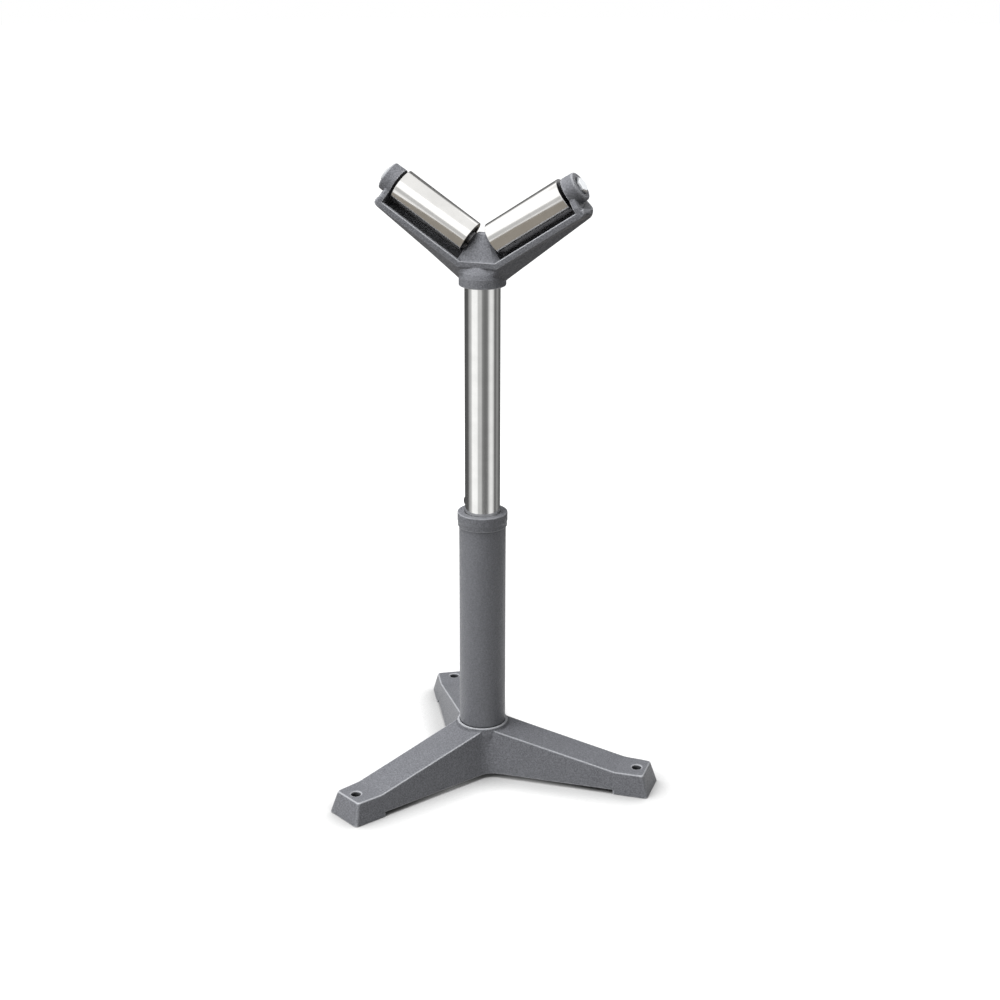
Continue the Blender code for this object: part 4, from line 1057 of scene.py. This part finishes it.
CAST_PAINT = paint_material("cast_paint", (0.118, 0.121, 0.133), (0.212, 0.217, 0.235), 0.44, True)
TUBE_PAINT = paint_material("tube_paint_fine", (0.148, 0.152, 0.167), (0.208, 0.213, 0.231), 0.42, False)
CHROME = metal_material("polished_chrome", (0.86, 0.86, 0.845), 0.09, (1.0, 1.0, 14.0), 300.0, 0.03)
ROLLER = metal_material("ground_roller", (0.86, 0.85, 0.83), 0.14, (1.0, 1.0, 1.0), 500.0, 0.03)
ZINC = metal_material("bright_zinc", (0.86, 0.88, 0.90), 0.30, (1.0, 1.0, 1.0), 700.0, 0.1)
# Painted shade: steel darkened far below its own colour, standing in for the shade on roller ends, bolt
# shanks and bearing parts in the gaps
STEEL_DARKENED_AS_SHADE = metal_material("bearing_steel_painted_shade", (0.16, 0.16, 0.165), 0.34, (1.0, 1.0, 1.0), 700.0, 0.08)
BRASS = metal_material("turned_brass", (0.72, 0.54, 0.24), 0.28, (1.0, 1.0, 1.0), 600.0, 0.1)
RUBBER = plastic_material("seal_black", (0.012, 0.012, 0.012), 0.55, 900.0)
NYLON = plastic_material("nylon_natural", (0.72, 0.69, 0.60), 0.45, 500.0)
HANDLE = plastic_material("handle_grained", (0.018, 0.018, 0.019), 0.42, 1200.0)


def dress(obj, material):
    obj.data.materials.clear()
    obj.data.materials.append(material)


def add_piece(obj, body, node, material, painted_shade_finish=None):
    """Puts a piece in its node's place; the finish given last, a dark steel that is painted shade, goes on
    the faces with material index 1.
    """
    moved(obj, Matrix.Translation((COLUMN_X, 0, 0)))
    marks = [face.material_index for face in obj.data.polygons]
    dress(obj, material)
    if painted_shade_finish is not None:
        obj.data.materials.append(painted_shade_finish)
        obj.data.polygons.foreach_set("material_index", marks)
    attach(obj, body)
    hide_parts(node)
    return obj


add_piece(build_base(), "base", "base_casting", CAST_PAINT)
add_piece(build_outer_tube(), "base", "outer_tube", TUBE_PAINT)
add_piece(build_collar(), "base", "top_collar", CAST_PAINT)
add_piece(build_inner_tube(), "mast", "inner_tube", CHROME)
add_piece(build_yoke(), "mast", "head_yoke", CAST_PAINT)
add_piece(moved(build_handle(), clamp_matrix()), "handle", "clamp_handle", HANDLE)
spring = add_piece(moved(build_spring(), clamp_matrix()), "screw", "handle_spring", ZINC)
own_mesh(spring)
for side, side_name in ((-1, "left"), (1, "right")):
    roller = moved(build_roller(side_name), arm_matrix(side))
    add_piece(roller, f"roller_{side_name}", f"{side_name}_roller", ROLLER, STEEL_DARKENED_AS_SHADE)
    bolt = moved(build_bolt(side_name), arm_matrix(side))
    add_piece(bolt, "mast", f"{side_name}_axle_bolt", ZINC, STEEL_DARKENED_AS_SHADE)

CAD_LOOKS = {
    "zinc_plate": ZINC,
    "bearing_steel": STEEL_DARKENED_AS_SHADE,
    "seal_rubber": RUBBER,
    "guide_nylon": NYLON,
    "brass": BRASS,
}
slots = {row["node"]: row["material_slot"] for row in frame["record"]["subparts"]}
for node, obj in frame["nodes"].items():
    # Spacers and the bearing steel take the dark steel that paints shade in the gaps
    if node.endswith("_spacer"):
        dress(obj, STEEL_DARKENED_AS_SHADE)
    elif slots[node] in CAD_LOOKS:
        dress(obj, CAD_LOOKS[slots[node]])


# Camera
turn = Matrix.Rotation(math.radians(VIEW_TURN), 3, "Z")
camera_data = bpy.data.cameras.new("camera")
camera = bpy.data.objects.new("camera", camera_data)
bpy.context.scene.collection.objects.link(camera)
camera.location = turn @ Vector((0, -VIEW_DISTANCE, VIEW_HEIGHT)) + Vector((COLUMN_X, 0, 0))
aim = turn @ Vector((0, cosd(VIEW_DROP), -sind(VIEW_DROP)))
camera.rotation_euler = aim.to_track_quat("-Z", "Y").to_euler()
camera_data.sensor_width = SENSOR
camera_data.lens = LENS
camera_data.shift_x = SHIFT_X
camera_data.shift_y = SHIFT_Y
bpy.context.scene.camera = camera


# Stage: the floor, plain white to the eye and to mirrors from the end of its fade outwards
FLOOR_RADIUS = 14.0
FLOOR_FACETS = 96
FLOOR_COLOUR = (0.28, 0.28, 0.28, 1.0)
FLOOR_NEAR = 0.80
FADE_START = 0.28
FADE_END = 0.70
SHADOW_REACH = 0.050
SHADOW_DEPTH = 3.0

# Softboxes and flags that only mirrors see: (degrees to the right of the camera, brightness) low down
CARDS = [
    (-180, 0.10), (-150, 0.10), (-118, 0.10), (-104, 0.12), (-97, 0.34), (-84, 0.50), (-76, 0.62),
    (-68, 1.12), (-34, 1.08), (-27, 0.62), (-8, 0.60), (-1, 0.28), (10, 0.19), (24, 0.17), (33, 0.25),
    (41, 0.60), (50, 0.90), (62, 0.92), (72, 0.72), (82, 0.20), (90, 0.14), (98, 0.22), (108, 0.32),
    (118, 0.22), (130, 0.13), (180, 0.10),
]

# Higher up, where the rollers look, and overhead all round: (metres over the floor, brightness)
BANDS = [
    (0.00, 0.90), (0.50, 0.95), (0.58, 0.95), (0.62, 0.60), (0.85, 0.58), (0.91, 1.30), (1.60, 1.40),
]
WALL_R = 0.85
WALL_THICKNESS = 0.001
WALL_FACETS = 96
WALL_TOP = 1.6
CARDS_TOP = 0.49
BANDS_START = 0.52
OVERHEAD_START = 0.86
OVERHEAD_END = 0.90
ROLLER_WINDOW = (-70, -64, -16, -10)

# The bands are dimmer behind the stand: shares of the way round, and the brightness left there
FRONT_ARC = (0.07, 0.12, 0.88, 0.93)
REAR_LEVEL = 0.14

# A brown card under the head, which the rollers' lower halves mirror
SKIRT_Z = 0.664
SKIRT_THICKNESS = 0.0005
SKIRT_INNER = 0.03
SKIRT_OUTER = 0.30
SKIRT_GRAZING = 0.77
SKIRT_COLOUR = (0.31, 0.285, 0.25, 1.0)

# Lamps: name, degrees to the right of the camera, rise, distance, side and power
LAMPS = [
    ("key", -58, 34, 2.6, 1.2, 36),
    ("fill", 60, 25, 2.6, 1.6, 2),
    ("top", -80, 78, 5.0, 3.3, 385),
]
LAMP_AIM_Z = 0.35
WORLD_LIGHT = 0.085


def background_rays(nodes, links):
    """1 for the rays that show the pale background: the eye's, and those in metal and glass."""
    rays = nodes.new("ShaderNodeLightPath").outputs
    mirrored = math_node(nodes, links, "MAXIMUM", rays["Is Glossy Ray"], rays["Is Transmission Ray"])
    return math_node(nodes, links, "MAXIMUM", rays["Is Camera Ray"], mirrored)


def build_floor():
    """A pale floor, shaded under and beside the stand: by the lamps in its diffuse part, and by a painted
    contact shadow that dims its glow near the stand.
    """
    bm = bmesh.new()
    bmesh.ops.create_circle(bm, cap_ends=True, segments=FLOOR_FACETS, radius=FLOOR_RADIUS)
    floor = finish_object("floor", bm)
    material, nodes, links, shader = new_material("pale_floor")
    nodes.remove(shader)
    diffuse = nodes.new("ShaderNodeBsdfDiffuse")
    diffuse.inputs["Color"].default_value = FLOOR_COLOUR
    distance = nodes.new("ShaderNodeVectorMath")
    distance.operation = "LENGTH"
    links.new(place_node(nodes), distance.inputs[0])
    reach = distance.outputs["Value"]
    fade = range_node(nodes, links, reach, FADE_START, FADE_END, FLOOR_NEAR, 1.0, "SMOOTHSTEP")
    # Painted contact shadow: the floor's glow is dimmed where the stand is close above or beside it
    painted_contact_shadow = hidden_node(nodes, SHADOW_REACH)
    open_share = math_node(nodes, links, "POWER", painted_contact_shadow.outputs["AO"], SHADOW_DEPTH)
    strength = math_node(nodes, links, "MULTIPLY", open_share, fade)
    seen = math_node(nodes, links, "MULTIPLY", strength, background_rays(nodes, links))
    emission = nodes.new("ShaderNodeEmission")
    links.new(seen, emission.inputs["Strength"])
    both = nodes.new("ShaderNodeAddShader")
    links.new(diffuse.outputs["BSDF"], both.inputs[0])
    links.new(emission.outputs["Emission"], both.inputs[1])
    links.new(both.outputs["Shader"], nodes["Material Output"].inputs["Surface"])
    dress(floor, material)


def show_to_mirrors_only(obj):
    obj.visible_camera = False
    obj.visible_diffuse = False
    obj.visible_transmission = False
    obj.visible_shadow = False


def turn_share(angle):
    """How far round an angle is, from straight behind the stand, as a share of a full turn."""
    return (angle + 180) / 360


def build_cards():
    """The wall of reflectors round the stand: cards, and bands in the rollers' window and overhead."""
    inner_r = WALL_R - WALL_THICKNESS
    profile = [(WALL_R, WALL_THICKNESS), (WALL_R, WALL_TOP), (inner_r, WALL_TOP), (inner_r, WALL_THICKNESS)]
    wall = turned("reflector_wall", profile, WALL_FACETS)
    material, nodes, links, shader = new_material("reflector")
    nodes.remove(shader)
    place = place_node(nodes)
    mapping = nodes.new("ShaderNodeMapping")
    mapping.inputs["Rotation"].default_value = (0, 0, math.radians(90 - VIEW_TURN))
    links.new(place, mapping.inputs["Vector"])
    gradient = nodes.new("ShaderNodeTexGradient")
    gradient.gradient_type = "RADIAL"
    links.new(mapping.outputs["Vector"], gradient.inputs["Vector"])
    around = gradient.outputs["Fac"]
    split = nodes.new("ShaderNodeSeparateXYZ")
    links.new(place, split.inputs["Vector"])
    height = split.outputs["Z"]

    low = ramp_node(nodes, links, around, [(turn_share(angle), (level,) * 3) for angle, level in CARDS])
    levels = (REAR_LEVEL, 1.0, 1.0, REAR_LEVEL)
    front = ramp_node(nodes, links, around, [(at, (level,) * 3) for at, level in zip(FRONT_ARC, levels)])
    share_up = range_node(nodes, links, height, 0.0, WALL_TOP)
    high = ramp_node(nodes, links, share_up, [(z / WALL_TOP, (level,) * 3) for z, level in BANDS])
    high = mix_node(nodes, links, "MULTIPLY", high, front)

    over_cards = range_node(nodes, links, height, CARDS_TOP, BANDS_START)
    overhead = range_node(nodes, links, height, OVERHEAD_START, OVERHEAD_END)
    stops = [(turn_share(angle), (level,) * 3) for angle, level in zip(ROLLER_WINDOW, (0, 1, 1, 0))]
    chosen = math_node(nodes, links, "MAXIMUM", ramp_node(nodes, links, around, stops), overhead)
    share = math_node(nodes, links, "MULTIPLY", chosen, over_cards)
    emission = nodes.new("ShaderNodeEmission")
    links.new(mix_node(nodes, links, "MIX", low, high, share), emission.inputs["Color"])
    links.new(emission.outputs["Emission"], nodes["Material Output"].inputs["Surface"])
    wall.location = (COLUMN_X, 0, 0)
    dress(wall, material)
    show_to_mirrors_only(wall)


def build_skirt():
    """The brown card, which shines upwards only, so that a head lowered under it sees past it."""
    low = SKIRT_Z - SKIRT_THICKNESS
    profile = [(SKIRT_INNER, low), (SKIRT_OUTER, low), (SKIRT_OUTER, SKIRT_Z), (SKIRT_INNER, SKIRT_Z)]
    skirt = turned("reflector_skirt", profile, SMALL)
    material, nodes, links, shader = new_material("reflector_brown")
    nodes.remove(shader)
    normal = nodes.new("ShaderNodeSeparateXYZ")
    links.new(nodes.new("ShaderNodeNewGeometry").outputs["True Normal"], normal.inputs["Vector"])
    upward = math_node(nodes, links, "GREATER_THAN", normal.outputs["Z"], 0.5)
    slant = nodes.new("ShaderNodeLayerWeight")
    slant.inputs["Blend"].default_value = 0.5
    steep = math_node(nodes, links, "LESS_THAN", slant.outputs["Facing"], SKIRT_GRAZING)
    shining = math_node(nodes, links, "MULTIPLY", upward, steep)
    emission = nodes.new("ShaderNodeEmission")
    emission.inputs["Color"].default_value = SKIRT_COLOUR
    clear = nodes.new("ShaderNodeBsdfTransparent")
    mix = nodes.new("ShaderNodeMixShader")
    links.new(shining, mix.inputs["Fac"])
    links.new(clear.outputs["BSDF"], mix.inputs[1])
    links.new(emission.outputs["Emission"], mix.inputs[2])
    links.new(mix.outputs["Shader"], nodes["Material Output"].inputs["Surface"])
    skirt.location = (COLUMN_X, 0, 0)
    dress(skirt, material)
    show_to_mirrors_only(skirt)


def add_lamp(name, turn_right, rise, distance, side, power):
    """A soft square lamp, placed by its direction from the stand as the camera sees it."""
    data = bpy.data.lights.new(name, "AREA")
    data.size = side
    data.energy = power
    lamp = bpy.data.objects.new(name, data)
    bpy.context.scene.collection.objects.link(lamp)
    angle = VIEW_TURN - 90 + turn_right
    flat = Vector((cosd(angle), sind(angle), 0)) * cosd(rise)
    target = Vector((COLUMN_X, 0, LAMP_AIM_Z))
    lamp.location = target + (flat + Vector((0, 0, sind(rise)))) * distance
    lamp.rotation_euler = (target - lamp.location).to_track_quat("-Z", "Y").to_euler()
    lamp.visible_glossy = False


build_floor()
build_cards()
build_skirt()
for lamp_row in LAMPS:
    add_lamp(*lamp_row)

world = bpy.data.worlds.new("studio")
bpy.context.scene.world = world
world.use_nodes = True
world_nodes = world.node_tree.nodes
world_links = world.node_tree.links
background = world_nodes["Background"]
background.inputs["Color"].default_value = (1.0, 1.0, 1.0, 1.0)
shown = background_rays(world_nodes, world_links)
strength = range_node(world_nodes, world_links, shown, 0.0, 1.0, WORLD_LIGHT, 1.0)
world_links.new(strength, background.inputs["Strength"])

bpy.context.scene.view_settings.view_transform = "Standard"
